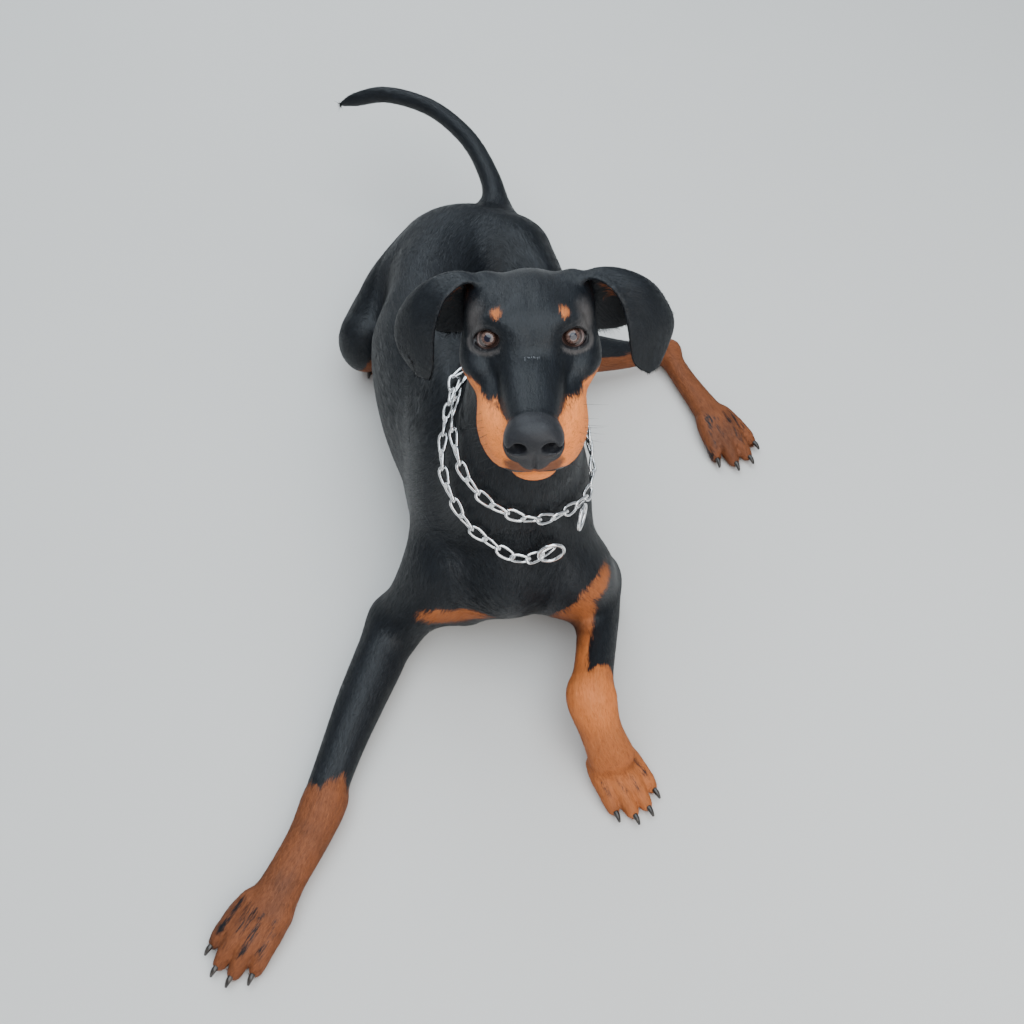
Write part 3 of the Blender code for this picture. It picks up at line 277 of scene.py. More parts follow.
def soft_cut(a, b, k):
    """What of a lies outside b, with the edge rounded over k."""
    return -soft_min(-a, b, k)


def ramp(x, low, high):
    """0 below low, 1 above high, and a smooth step between."""
    t = np.clip((x - low) / (high - low), 0, 1)
    return t * t * (3 - 2 * t)


def dot(a, b):
    """The dot product, row by row."""
    return np.einsum("ij,ij->i", a, b)


def size_of(a):
    """The length of each row."""
    return np.sqrt(dot(a, a))


def turns(count):
    """Evenly spaced angles once round."""
    return np.linspace(0, 2 * np.pi, count, endpoint=False)


def halving(near, far, rounds, inside):
    """Closes near and far in on the place between them where inside turns false."""
    for _ in range(rounds):
        half = (near + far) / 2
        found = inside(half)
        near, far = np.where(found, half, near), np.where(found, far, half)
    return near, far


def scaled_distance(q, radii, power):
    """Distance to a unit ball in scaled room, brought back to metres by its slope."""
    length = size_of(q)
    k0 = length if power == 2 else np.sum(np.abs(q) ** power, axis=1) ** (1 / power)
    k1 = size_of(q / radii) * k0 / np.maximum(length, 1e-9)
    return k0 * (k0 - 1) / np.maximum(k1, 1e-9)


def nearest_on(points, line):
    """The stretch of a broken line nearest to each point, how far along it, and the distance there."""
    middle = line.mean(0)
    ends = line - middle
    closest = (dot(ends, ends) - 2 * (points - middle) @ ends.T).argmin(1)
    found = []
    for step in (-1, 0):
        seg = np.clip(closest + step, 0, len(line) - 2)
        run = (line[1:] - line[:-1])[seg]
        off = points - line[seg]
        part = np.clip(dot(off, run) / dot(run, run), 0, 1)
        off -= part[:, None] * run
        found.append((seg, part, size_of(off)))
    first, second = found
    nearer = second[2] < first[2]
    return tuple(np.where(nearer, b, a) for a, b in zip(first, second))


def spread(points, low, high, margin, distance):
    """Runs distance on the points in a box only, and calls the others far."""
    inside = np.all((points > low - margin) & (points < high + margin), axis=1)
    out = np.full(len(points), FAR)
    if inside.any():
        out[inside] = distance(points[inside])
    return out


def oval(points, centre, radii, axes=None, margin=0.03, power=2.0):
    """Distance to an oval body, squarer for a higher power, with its axes as rows where it is turned."""
    centre, radii = np.asarray(centre, float), np.asarray(radii, float)
    turn = np.eye(3) if axes is None else np.asarray(axes, float)

    def distance(p):
        return scaled_distance((p - centre) @ turn.T / radii, radii, power)

    return spread(points, centre - radii.max(), centre + radii.max(), margin, distance)


def tube(points, rows, side=(1, 0, 0), count=14, power=2.0, margin=0.03):
    """Distance to a tube with oval sections along a curve through the rows.

    A row holds x, y, z, the half width along side, the half depth and, for some, a roll in degrees.
    """
    c = curve_through(rows, count)
    centre, wide, deep = c[:, :3], c[:, 3], c[:, 4]
    along = unit(np.gradient(centre, axis=0))
    side = np.asarray(side, float)
    across = unit(side - (along @ side)[:, None] * along)
    up = np.cross(across, along)
    if c.shape[1] > 5:
        roll = np.radians(c[:, 5:6])
        across, up = np.cos(roll) * across + np.sin(roll) * up, np.cos(roll) * up - np.sin(roll) * across

    def distance(p):
        seg, part, _ = nearest_on(p, centre)
        t = part[:, None]

        def mix(v):
            v = v.reshape(count, -1)
            return v[seg] * (1 - t) + v[seg + 1] * t

        q = p - mix(centre)
        w, d = mix(wide)[:, 0], mix(deep)[:, 0]
        r = np.stack([w, d, (w + d) / 2], axis=1)
        local = np.stack([dot(q, mix(v)) for v in (across, up, along)], axis=1) / r
        return scaled_distance(local, r, power)

    reach = max(wide.max(), deep.max())
    return spread(points, centre.min(0) - reach, centre.max(0) + reach, margin, distance)


def head_axes():
    """Rows are the head's s, f and h directions."""
    p, r, y = (math.radians(a) for a in HEAD_TURN)
    f = np.array((math.sin(y) * math.cos(p), -math.cos(y) * math.cos(p), math.sin(p)))
    s = unit(np.array((math.cos(y), math.sin(y), 0.0)))
    h = np.cross(s, f) * -1
    h = -h if h[2] < 0 else h
    s, h = math.cos(r) * s + math.sin(r) * h, math.cos(r) * h - math.sin(r) * s
    return np.stack([s, f, h])


HEAD_AXES = head_axes()


def to_head(points):
    """Points of the modelling frame in the head's frame."""
    return (points - EYE_MIDDLE) @ HEAD_AXES.T


def from_head(local):
    """Points of the head's frame in the modelling frame."""
    return np.asarray(local, float) @ HEAD_AXES + EYE_MIDDLE


def folded(q):
    """Head points with the right side laid on the left one."""
    return np.column_stack([np.abs(q[:, 0]), q[:, 1], q[:, 2]])


# The parts of the head, in head metres. Each tube's rows have the columns of the neck.
# Ovals on both sides, from the forehead to the brow: middle, radii and the width that blends them in.
CHEEKS = (
    ((0.008, -0.006, 0.002), (0.026, 0.027, 0.022), 0.014),
    ((0.030, -0.040, -0.002), (0.021, 0.036, 0.026), 0.012),
    ((0.037, -0.012, -0.022), (0.018, 0.032, 0.017), 0.014),
    ((0.031, -0.026, -0.042), (0.019, 0.030, 0.021), 0.016),
    ((0.027, 0.001, 0.0125), (0.013, 0.012, 0.008), 0.010),
    ((0.0345, -0.0500, 0.0040), (0.0130, 0.0165, 0.0235), 0.010),
)
# The bridge of the nose, from between the eyes to the leather.
BRIDGE = (
    (0, -0.005, -0.014, 0.029, 0.022),
    (0, 0.022, -0.018, 0.0255, 0.0200),
    (0, 0.055, -0.021, 0.0225, 0.0190),
    (0, 0.080, -0.0238, 0.0195, 0.0177),
    (0, 0.092, -0.0254, 0.0168, 0.0163),
)
# What is cut into the nose: the hole of a nostril, the slit at its side, and the groove between the two.
NOSTRIL = (
    (0.0100, 0.1130, -0.0240, 0.0046, 0.0038),
    (0.0112, 0.1040, -0.0225, 0.0044, 0.0038),
    (0.0115, 0.0970, -0.0205, 0.0022, 0.0022),
)
SLIT = (
    (0.0122, 0.1075, -0.0250, 0.0027, 0.0025),
    (0.0172, 0.1035, -0.0252, 0.0021, 0.0018),
    (0.0212, 0.0975, -0.0226, 0.0011, 0.0011),
)
GROOVE = (
    (0, 0.1115, -0.0260, 0.0007, 0.0010),
    (0, 0.1080, -0.0350, 0.0007, 0.0014),
    (0, 0.1045, -0.0440, 0.0007, 0.0012),
)
# One upper lip from the corner of the mouth to the front, and the lower jaw from its tip back.
LIP = (
    (0.0330, -0.002, -0.035, 0.0100, 0.0150),
    (0.0310, 0.028, -0.041, 0.0105, 0.0180),
    (0.0300, 0.052, -0.043, 0.0115, 0.0195),
    (0.0240, 0.074, -0.042, 0.0115, 0.0185),
    (0.0150, 0.089, -0.0410, 0.0105, 0.0145),
    (0.0045, 0.0955, -0.0395, 0.0085, 0.0120),
)
JAW = (
    (0, 0.0768, -0.0622, 0.0176, 0.0098),
    (0, 0.0620, -0.0628, 0.0236, 0.0110),
    (0, 0.040, -0.0610, 0.0275, 0.0120),
    (0, 0.010, -0.0580, 0.0300, 0.0140),
    (0, -0.022, -0.0540, 0.0320, 0.0160),
)


def upper_lip(m):
    """Distance to the upper lip, for folded points."""
    return tube(m, LIP)


def lower_jaw(q):
    """Distance to the lower jaw."""
    return tube(q, JAW, count=12)


def skull(q):
    """The head without ears, in its own frame. The sides match, so s is taken without its sign."""
    m = folded(q)
    d = oval(q, (0, -0.034, -0.006), (0.044, 0.052, 0.037))
    for centre, radii, blend in CHEEKS:
        d = soft_min(d, oval(m, centre, radii), blend)
    d = soft_min(d, tube(q, BRIDGE, power=2.4, count=12), 0.012)
    d = soft_min(d, upper_lip(m), 0.010)
    d = soft_min(d, oval(q, (0, 0.070, -0.048), (0.022, 0.024, 0.013)), 0.004)
    d = soft_min(d, lower_jaw(q), 0.0025)
    nose = oval(q, (0, 0.0945, -0.0212), (0.0205, 0.0165, 0.0160), power=2.4)
    nose = soft_min(nose, oval(m, (0.0125, 0.0985, -0.0235), (0.0095, 0.0115, 0.0105)), 0.004)
    d = soft_min(d, nose, 0.0022)
    for on, rows, edge in ((m, NOSTRIL, 0.002), (m, SLIT, 0.0015), (q, GROOVE, 0.0015)):
        d = soft_cut(d, tube(on, rows, count=6), edge)
    dish = EYE_BALL + unit(EYE_OUT) * (EYE_RADIUS + 0.0125)
    d = soft_cut(d, oval(m, dish, (0.0135,) * 3), 0.012)
    d = soft_min(d, oval(m, EYE_BALL, (EYE_RADIUS + 0.0018,) * 3), 0.005)
    return soft_cut(d, eye_opening(m), 0.0014)


def eye_opening(m):
    """Distance to the gap between the lids: an almond seen along the way they face, as deep as they are."""
    out = unit(EYE_OUT)
    across = unit(np.cross(out, (0, 0, 1)) * -1)
    across = across if across[0] > 0 else -across
    up = np.cross(across, out)
    up = up if up[2] > 0 else -up
    q = m - EYE_BALL
    x, z, y = q @ across, q @ up, q @ out
    x, z = x - LID_SLANT * z, z + LID_SLANT * x
    lid = np.sqrt((x / LID_LONG) ** 2 + (z / LID_HIGH) ** 2)
    almond = (lid - 1) * LID_HIGH + LID_CORNER * np.abs(x)
    return np.maximum(np.maximum(almond, LID_BACK - y), np.linalg.norm(q, axis=1) - EYE_RADIUS - LID_REACH)


def ear_sheet(hand, rows=30, columns=18):
    """The middle surface of an ear: curves through the rows of EAR_ROWS, then curves down through those."""
    keys = np.array(EAR_ROWS["left" if hand > 0 else "right"], float) / 1000
    across = np.stack([curve_through(row, columns) for row in keys])
    grid = np.stack([curve_through(across[:, c], rows) for c in range(columns)], axis=1)
    grid = grid.reshape(-1, 3)
    grid[:, 0] *= hand
    return from_head(grid).reshape(rows, columns, 3)


def ear_tree(hand):
    """The middle surface of an ear as a search tree, and its points."""
    grid = ear_sheet(hand)
    rows, columns = grid.shape[:2]
    faces = [
        (r * columns + c, r * columns + c + 1, (r + 1) * columns + c + 1, (r + 1) * columns + c)
        for r in range(rows - 1)
        for c in range(columns - 1)
    ]
    return BVHTree.FromPolygons(grid.reshape(-1, 3).tolist(), faces), grid


EAR_TREES = {1: ear_tree(1), -1: ear_tree(-1)}
# Half the thickness of an ear.
EAR_HALF = 0.0022


def ear(points, hand):
    """Distance to an ear: half its thickness short of the distance to its middle surface."""
    tree, grid = EAR_TREES[hand]
    flat = grid.reshape(-1, 3)

    def distance(p):
        return np.array([tree.find_nearest(v)[3] for v in p.tolist()]) - EAR_HALF

    return spread(points, flat.min(0), flat.max(0), 0.010, distance)


def toe_frame(place, heading):
    """A place on the floor, with the ways ahead of it and to its side for a heading in degrees."""
    a = math.radians(heading)
    ahead = np.array((math.sin(a), -math.cos(a), 0.0))
    side = np.array((math.cos(a), math.sin(a), 0.0))
    return np.array(place), ahead, side


def toes_of(name):
    """Each toe's rows: root, knuckle, tip and the point where its claw leaves."""
    place, heading, pitch, fan = FEET[name]
    made = []
    for step in (-1.5, -0.5, 0.5, 1.5):
        origin, ahead, side = toe_frame(place, heading + step * fan)
        base = origin + side * step * pitch * 0.86
        long, rise, fat = TOES[abs(step) < 1]
        made.append([
            (*(base - ahead * 0.016 + [0, 0, 0.017]), fat * 0.85, fat * 0.9),
            (*(base + ahead * long * 0.35 + [0, 0, rise - 0.007]), fat, fat),
            (*(base + ahead * long * 0.75 + [0, 0, 0.0105]), fat * 0.98, fat * 1.05),
            (*(base + ahead * long + [0, 0, 0.0068]), fat * 0.80, fat * 0.85),
        ])
    return made


def paw(points, name):
    """Four toes and the pad behind them."""
    place, heading, pitch, _ = FEET[name]
    origin, ahead, side = toe_frame(place, heading)
    palm = oval(
        points, origin - ahead * 0.004 + [0, 0, 0.0125], (pitch * 1.75, 0.024, 0.0135),
        axes=np.stack([side, ahead, np.array((0, 0, 1.0))]),
    )
    toes = None
    for rows in toes_of(name):
        one = tube(points, rows, side=side, count=8, margin=0.02)
        toes = one if toes is None else soft_min(toes, one, 0.0022)
    return soft_min(palm, toes, 0.008)


def blend_width(points, place, near, far, reach):
    """A blending width that is wide round a joint and narrow away from it."""
    away = np.linalg.norm(points - np.asarray(place), axis=1)
    return near + (far - near) * ramp(away, 0.25 * reach, reach)


# The widths that the parts of the body are blended over, in metres.
BLEND = {
    "neck": 0.045, "breast": 0.030, "shoulder": 0.035, "elbow": 0.016, "paw": 0.009, "knee": 0.022,
    "tail": 0.018, "flank": 0.030, "ear": 0.006, "head": 0.022,
}
# Blends that narrow away from their joint: the width at it, the width away from it, and how far that is.
ARM_BLEND, HIP_BLEND, HOCK_BLEND = (0.035, 0.006, 0.12), (0.034, 0.008, 0.14), (0.012, 0.002, 0.04)


def flesh(points, ears=True):
    """The whole animal in one field."""
    d = tube(points, TRUNK, count=56, margin=0.06)
    d = soft_min(d, tube(points, NECK, count=48, margin=0.06), BLEND["neck"])
    for centre, radii in BREAST:
        d = soft_min(d, oval(points, centre, radii, margin=0.04), BLEND["breast"])
    for hand in HANDS:
        d = soft_min(d, tube(points, SHOULDER[hand], margin=0.05), BLEND["shoulder"])
        arm = tube(points, UPPER_ARM[hand], margin=0.04)
        arm = soft_min(arm, tube(points, FOREARM[hand], count=26, margin=0.04), BLEND["elbow"])
        arm = soft_min(arm, paw(points, "forepaw_" + hand), BLEND["paw"])
        d = soft_min(d, arm, blend_width(points, SHOULDER[hand][2][:3], *ARM_BLEND))
        thigh = tube(points, THIGH[hand], count=12, margin=0.05)
        shank = tube(points, SHANK[hand], side=SHANK_SIDE[hand], count=20, margin=0.04)
        leg = soft_min(thigh, shank, BLEND["knee"])
        foot = tube(points, HIND_FOOT[hand], count=14, margin=0.03)
        foot = soft_min(foot, paw(points, "hindpaw_" + hand), BLEND["paw"])
        leg = soft_min(leg, foot, blend_width(points, HIND_FOOT[hand][0][:3], *HOCK_BLEND))
        d = soft_min(d, leg, blend_width(points, THIGH[hand][0][:3], *HIP_BLEND))
    d = soft_min(d, tube(points, TAIL, count=36, margin=0.04), BLEND["tail"])
    for centre, radii in HOLLOWS:
        d = soft_cut(d, oval(points, centre, radii, margin=0.04), BLEND["flank"])
    q = to_head(points)
    head = np.full(len(points), FAR)
    close = np.all(np.abs(q - np.array((0, 0.01, -0.02))) < np.array((0.10, 0.14, 0.11)), axis=1)
    if close.any():
        head[close] = skull(q[close])
    if ears:
        for hand in (1, -1):
            head = soft_min(head, ear(points, hand), BLEND["ear"])
    return soft_min(d, head, BLEND["head"])


# How many cells a side the grid's blocks have, and the eight corners of a cell.
BLOCK = 4
CORNERS = np.array([(i, j, k) for i in (0, 1) for j in (0, 1) for k in (0, 1)])
# Six tetrahedra fill a cell. All hold its diagonal from corner 0 to 7, and all turn the same way round.
TETRAHEDRA = np.array(((0, 4, 6, 7), (0, 6, 2, 7), (0, 2, 3, 7), (0, 3, 1, 7), (0, 1, 5, 7), (0, 5, 4, 7)))


def tetrahedron_cases():
    """For each set of inner corners, the triangles between its crossed edges, facing out."""
    even = {0: (0, 1, 2, 3), 1: (1, 0, 3, 2), 2: (2, 3, 0, 1), 3: (3, 2, 1, 0)}
    pairs = ((0, 1, 2, 3), (0, 2, 3, 1), (0, 3, 1, 2), (1, 2, 0, 3), (1, 3, 2, 0), (2, 3, 0, 1))
    cases = {}
    for a, (_, b, c, d) in even.items():
        cases[1 << a] = [((a, b), (a, c), (a, d))]
        cases[15 - (1 << a)] = [((a, b), (a, d), (a, c))]
    for a, b, c, d in pairs:
        quad = ((a, c), (a, d), (b, d), (b, c))
        cases[(1 << a) | (1 << b)] = [(quad[0], quad[1], quad[2]), (quad[0], quad[2], quad[3])]
    return cases


def earless(points):
    """The animal without its ears, which the collar doesn't reach."""
    return flesh(points, ears=False)


def face_outward(obj):
    """Turns the faces of closed shapes outward."""
    bm = bmesh.new()
    bm.from_mesh(obj.data)
    bmesh.ops.recalc_face_normals(bm, faces=bm.faces)
    if bm.calc_volume(signed=True) < 0:
        bmesh.ops.reverse_faces(bm, faces=bm.faces)
    bm.to_mesh(obj.data)
    bm.free()


def facing_of(points, faces):
    """The cross product of each triangle's edges, and each point's normal from the triangles round it."""
    a, b, c = (points[faces[:, k]] for k in range(3))
    facing = np.cross(b - a, c - a)
    share = np.repeat(facing, 3, axis=0)
    normal = np.stack([np.bincount(faces.ravel(), share[:, k], len(points)) for k in range(3)], 1)
    return facing, unit(normal)


def settled(field, points, faces):
    """Moves points twice along the mesh's own normals, by up to a millimetre, onto the field's surface."""
    for _ in range(2):
        _, normal = facing_of(points, faces)
        points = points - normal * np.clip(in_parts(field, points), -0.001, 0.001)[:, None]
    return points


# Ways along a claw, from inside the toe (below 0) to its point (1).
CLAW_WAY = np.linspace(-0.3, 1, 12)


def claw_line(rows):
    """The middle line of a claw: out of the toe's tip, down and ahead."""
    root, tip = np.array(rows[2][:3]), np.array(rows[3][:3])
    ahead = unit((tip - root) * (1, 1, 0))
    base = tip + [0, 0, 0.0018]
    t = CLAW_WAY[:, None]
    drop = np.array((0, 0, 1.0)) * (0.0012 - 0.0040 * np.maximum(t, 0) ** 2)
    return base + ahead * (0.0062 + 0.0068 * t) + drop


# The middle of the neck at the chain's height, and a distance from it that is outside the neck all round.
NECK_MIDDLE = np.array((0.007, 0.560))
NECK_REACH = 0.16


def collar_point(turn, height, out):
    """A point outside the neck at an angle and a height: found along a level ray from the neck's middle."""
    a = np.radians(turn)
    level = np.stack([np.cos(a), np.sin(a)], 1)

    def inside(r):
        return earless(np.column_stack([NECK_MIDDLE + level * r[:, None], height])) < out

    _, far = halving(np.zeros(len(a)), np.full(len(a), NECK_REACH), 24, inside)
    return np.column_stack([NECK_MIDDLE + level * far[:, None], height])


# The chain winds twice round the neck: angle (0 the dog's left, -90 its front) and height.
CHAIN = (
    (-66, 0.1600), (-78, 0.1605), (-90, 0.1650), (-101, 0.1735), (-112, 0.1830), (-124, 0.1935),
    (-134, 0.2045), (-145, 0.2115), (-155, 0.2175), (-170, 0.2265), (-180, 0.2325), (-215, 0.2400),
    (-260, 0.2360), (-300, 0.2200), (-335, 0.2000), (-360, 0.1885), (-384, 0.1850), (-398, 0.1890),
    (-411, 0.1945), (-422, 0.1985), (-439, 0.2075), (-455, 0.2175), (-467, 0.2240), (-477, 0.2290),
    (-487, 0.2345), (-498, 0.2395), (-514, 0.2480), (-540, 0.2560), (-575, 0.2600), (-620, 0.2540),
    (-660, 0.2370), (-690, 0.2190), (-712, 0.2060),
)
# The wire's radius, a link's outer length and width, how square it is, the room from link to link, how far
# the chain's line lies from the skin, the room under its wire, and how far a link leans and twists.
WIRE = 0.0015
LINK_LONG = 0.0200
LINK_WIDE = 0.0115
LINK_SQUARE = 2.6
LINK_PITCH = 0.0146
LINK_OUT = 0.0042
LINK_CLEAR = 0.0012
LINK_LEAN = 19
LINK_TWIST = 0.0007
# The outer radius of the two rings and how far from a link's middle they begin. Each hooks into the link
# nearest to a place, hangs from there along a heading, and has its face turned a way.
RING_RADIUS = 0.0130
RING_HOOKED = 0.0030
RINGS = (
    (np.array((0.024, 0.484, 0.160)), (0.93, 0.20, 0.12), (0.25, -0.96, 0.10)),
    (np.array((0.056, 0.521, 0.187)), (-0.14, -0.50, -0.85), (0.90, -0.25, 0.10)),
)


def collar_links():
    """Middle, run and outward direction of each link, a pitch apart along the chain."""
    keys = curve_through(CHAIN, 400)
    line = collar_point(keys[:, 0], keys[:, 1], LINK_OUT)
    length = np.concatenate([[0], np.cumsum(np.linalg.norm(np.diff(line, axis=0), axis=1))])
    count = int(length[-1] / LINK_PITCH)
    at = np.linspace(0, length[-1], count + 1)
    place = np.stack([np.interp(at, length, line[:, i]) for i in range(3)], 1)
    middle = (place[1:] + place[:-1]) / 2
    run = unit(place[1:] - place[:-1])
    steps = 0.002 * np.eye(3)
    out = unit(np.stack([earless(middle + step) - earless(middle - step) for step in steps], 1))
    out = unit(out - np.sum(out * run, axis=1)[:, None] * run)
    return middle, run, out


def link_line(middle, run, out, lean, count):
    """An oval of wire whose plane leans by an angle from the skin, and the way that its plane faces."""
    across = np.cross(out, run)
    c, s = math.cos(lean), math.sin(lean)
    flat = across * c + out * s
    t = turns(count)
    round_off = (np.abs(np.cos(t)) ** LINK_SQUARE + np.abs(np.sin(t)) ** LINK_SQUARE) ** (-1 / LINK_SQUARE)
    x = np.cos(t) * round_off * (LINK_LONG / 2 - WIRE)
    y = np.sin(t) * round_off * (LINK_WIDE / 2 - WIRE)
    return middle + x[:, None] * run + y[:, None] * flat, np.cross(run, flat)


def clear_of_skin(line, away, room):
    """Moves a line of points away until every one of them has room between it and the skin."""
    for _ in range(6):
        line = line + away * max(0.0, room - earless(line).min())
    return line


# How far the skin lies inside the solids: on the body, and on the head and the feet.
COAT_DEPTH = 0.0012
FINE_DEPTH = 0.0006
# Grid lines for the skin, as runs of start, end and step: finer through the head and the feet.
GRID = (
    (
        (-0.340, -0.118, 0.0042), (-0.118, -0.032, 0.0020), (-0.032, 0.060, 0.00135), (0.060, 0.128, 0.0020),
        (0.128, 0.340, 0.0042),
    ),
    (
        (0.100, 0.425, 0.0036), (0.425, 0.475, 0.0014), (0.475, 0.560, 0.0017), (0.560, 0.640, 0.0022),
        (0.640, 1.190, 0.0042),
    ),
    (
        (-0.010, 0.040, 0.0025), (0.040, 0.262, 0.0040), (0.262, 0.300, 0.0020), (0.300, 0.400, 0.0015),
        (0.400, 0.430, 0.0025),
    ),
)
# How many triangles the skin is thinned to, and how far its lowest points stay above the floor.
SKIN_TRIANGLES = 190000
SKIN_FLOOR = 0.0003


def skin_field(points):
    """The flesh, set in by the coat's depth, which is less on the head, ears and feet."""
    q = to_head(points)
    fine = 1 - ramp(np.linalg.norm(q / np.array((0.11, 0.13, 0.10)), axis=1), 0.8, 1.2)
    fine = np.maximum(fine, 1 - ramp(points[:, 2], 0.030, 0.045))
    return flesh(points) + COAT_DEPTH + (FINE_DEPTH - COAT_DEPTH) * fine


def grid_line(runs):
    """Grid coordinates from runs of start, end and step, filled up to whole blocks."""
    line = [np.linspace(a, b, int(round((b - a) / step)) + 1)[:-1] for a, b, step in runs]
    line = np.concatenate(line + [[runs[-1][1]]])
    extra = -(len(line) - 1) % BLOCK
    return np.concatenate([line, line[-1] + runs[-1][2] * np.arange(1, extra + 1)])


def in_parts(field, points):
    """The field at many points, worked out side by side in parts of some 60,000."""
    parts = np.array_split(points, max(1, len(points) // 60000))
    with ThreadPoolExecutor(4) as pool:
        return np.concatenate(list(pool.map(field, parts)))


def surface_on(field, lines):
    """The surface where the field is zero on a grid with uneven lines, from six tetrahedra to a cell.

    The grid is cut into blocks of BLOCK cells a side, and only blocks near the surface are looked into.
    """
    blocks = np.array([(len(line) - 1) // BLOCK for line in lines])
    ids = np.stack(np.meshgrid(*(np.arange(n) for n in blocks), indexing="ij"), -1).reshape(-1, 3)
    first = np.stack([lines[k][ids[:, k] * BLOCK] for k in range(3)], 1)
    last = np.stack([lines[k][ids[:, k] * BLOCK + BLOCK] for k in range(3)], 1)
    reach = np.linalg.norm(last - first, axis=1) * 0.72
    ids = ids[np.abs(in_parts(field, (first + last) / 2)) < reach]
    local = np.stack(np.meshgrid(*(np.arange(BLOCK + 1),) * 3, indexing="ij"), -1)
    at = ids[:, None, None, None] * BLOCK + local
    place = np.stack([lines[k][at[..., k]] for k in range(3)], -1)
    v = in_parts(field, place.reshape(-1, 3)).reshape(-1, BLOCK + 1, BLOCK + 1, BLOCK + 1)
    corner = np.stack([v[:, i : i + BLOCK, j : j + BLOCK, k : k + BLOCK] for i, j, k in CORNERS], -1)
    within = corner < 0
    mixed = within.any(-1) & ~within.all(-1)
    block, i, j, k = np.nonzero(mixed)
    cell = ids[block] * BLOCK + np.stack([i, j, k], 1)
    corner, within = corner[mixed], within[mixed]
    span = blocks * BLOCK + 2
    number = (cell[:, None, :] + CORNERS) @ np.array((span[1] * span[2], span[2], 1))
    edges, hits, pairs = [], [], []
    for tetra in TETRAHEDRA:
        mask = within[:, tetra] @ np.array((1, 2, 4, 8))
        for case, triangles in tetrahedron_cases().items():
            hit = np.nonzero(mask == case)[0]
            for triangle in triangles:
                ends = [sorted((tetra[a], tetra[b])) for a, b in triangle]
                edges.append(np.stack([number[hit, a] * 8 + (a ^ b) for a, b in ends], 1))
                hits.append(np.repeat(hit[:, None], 3, 1))
                pairs.append(np.broadcast_to(np.array(ends), (len(hit), 3, 2)))
    _, first, index = np.unique(np.concatenate(edges).ravel(), return_index=True, return_inverse=True)
    hit = np.concatenate(hits).ravel()[first]
    pair = np.concatenate(pairs).reshape(-1, 2)[first]
    a, b = corner[hit, pair[:, 0]], corner[hit, pair[:, 1]]
    t = np.clip(a / (a - b), 0.03, 0.97)[:, None]
    start, end = cell[hit] + CORNERS[pair[:, 0]], cell[hit] + CORNERS[pair[:, 1]]
    start, end = (np.stack([lines[k][c[:, k]] for k in range(3)], 1) for c in (start, end))
    return start * (1 - t) + end * t, index.reshape(-1, 3)


def new_mesh(name, points, faces, material=None, smooth=True):
    """An object from points in the modelling frame and faces that all have as many corners."""
    mesh = bpy.data.meshes.new(name)
    faces = np.asarray(faces, np.int32)
    mesh.vertices.add(len(points))
    mesh.vertices.foreach_set("co", (np.asarray(points) - MIDDLE).astype(np.float32).ravel())
    mesh.loops.add(faces.size)
    mesh.loops.foreach_set("vertex_index", faces.ravel())
    mesh.polygons.add(len(faces))
    mesh.polygons.foreach_set("loop_start", np.arange(0, faces.size, faces.shape[1], dtype=np.int32))
    mesh.polygons.foreach_set("use_smooth", np.full(len(faces), smooth))
    mesh.update(calc_edges=True)
    obj = bpy.data.objects.new(name, mesh)
    bpy.context.scene.collection.objects.link(obj)
    if material is not None:
        mesh.materials.append(material)
    return obj


def set_attribute(obj, name, values):
    """A number or a vector for each vertex, for the materials to read."""
    values = np.asarray(values, np.float32)
    kind, key = ("FLOAT", "value") if values.ndim == 1 else ("FLOAT_VECTOR", "vector")
    obj.data.attributes.new(name, kind, "POINT").data.foreach_set(key, values.ravel())


class Strand:
    """A run of the coat along one part: its middle line, its own coordinates, and the way its hair lies."""

    def __init__(self, rows, side, count, back):
        c = curve_through([row[:5] for row in rows], count)
        self.centre, self.width = c[:, :3], (c[:, 3] + c[:, 4]) / 2
        self.along = unit(np.gradient(self.centre, axis=0))
        side = np.asarray(side, float)
        self.across = unit(side - (self.along @ side)[:, None] * self.along)
        self.up = np.cross(self.across, self.along)
        self.length = np.concatenate([[0], np.cumsum(np.linalg.norm(np.diff(self.centre, axis=0), axis=1))])
        self.back = back
        self.offset = np.zeros(3)

    def look(self, points):
        """Distance to the run's skin, coordinates across, up and along it, and the heading of its hair."""
        seg, part, far = nearest_on(points, self.centre)
        t = part[:, None]

        def mix(v):
            return v[seg] * (1 - t) + v[seg + 1] * t

        q = points - mix(self.centre)
        heading = mix(self.along) * (-1 if self.back else 1)
        local = np.stack([dot(q, mix(v)) for v in (self.across, self.up, self.along)], 1)
        local[:, 2] += mix(self.length[:, None])[:, 0]
        return far - mix(self.width[:, None])[:, 0], local, heading


def head_rows(rows):
    """Rows given in the head's own millimetres, brought to the modelling frame."""
    return [(*from_head(np.array(row[:3]) / 1000), *(np.array(row[3:]) / 1000)) for row in rows]


def ear_run(hand):
    """The middle line of an ear, from its rows."""
    rows = EAR_ROWS["left" if hand > 0 else "right"]
    middle = [np.mean(row, axis=0) * (hand, 1, 1) for row in rows]
    return head_rows([(*m, 14, 3) for m in middle])


# The middle line of the muzzle and skull, from the nose back, in head millimetres.
SKULL_RUN = (
    (0, 118, -20, 16, 16), (0, 70, -30, 24, 24), (0, 20, -18, 30, 30), (0, -30, -8, 42, 38),
    (0, -84, -16, 30, 30),
)


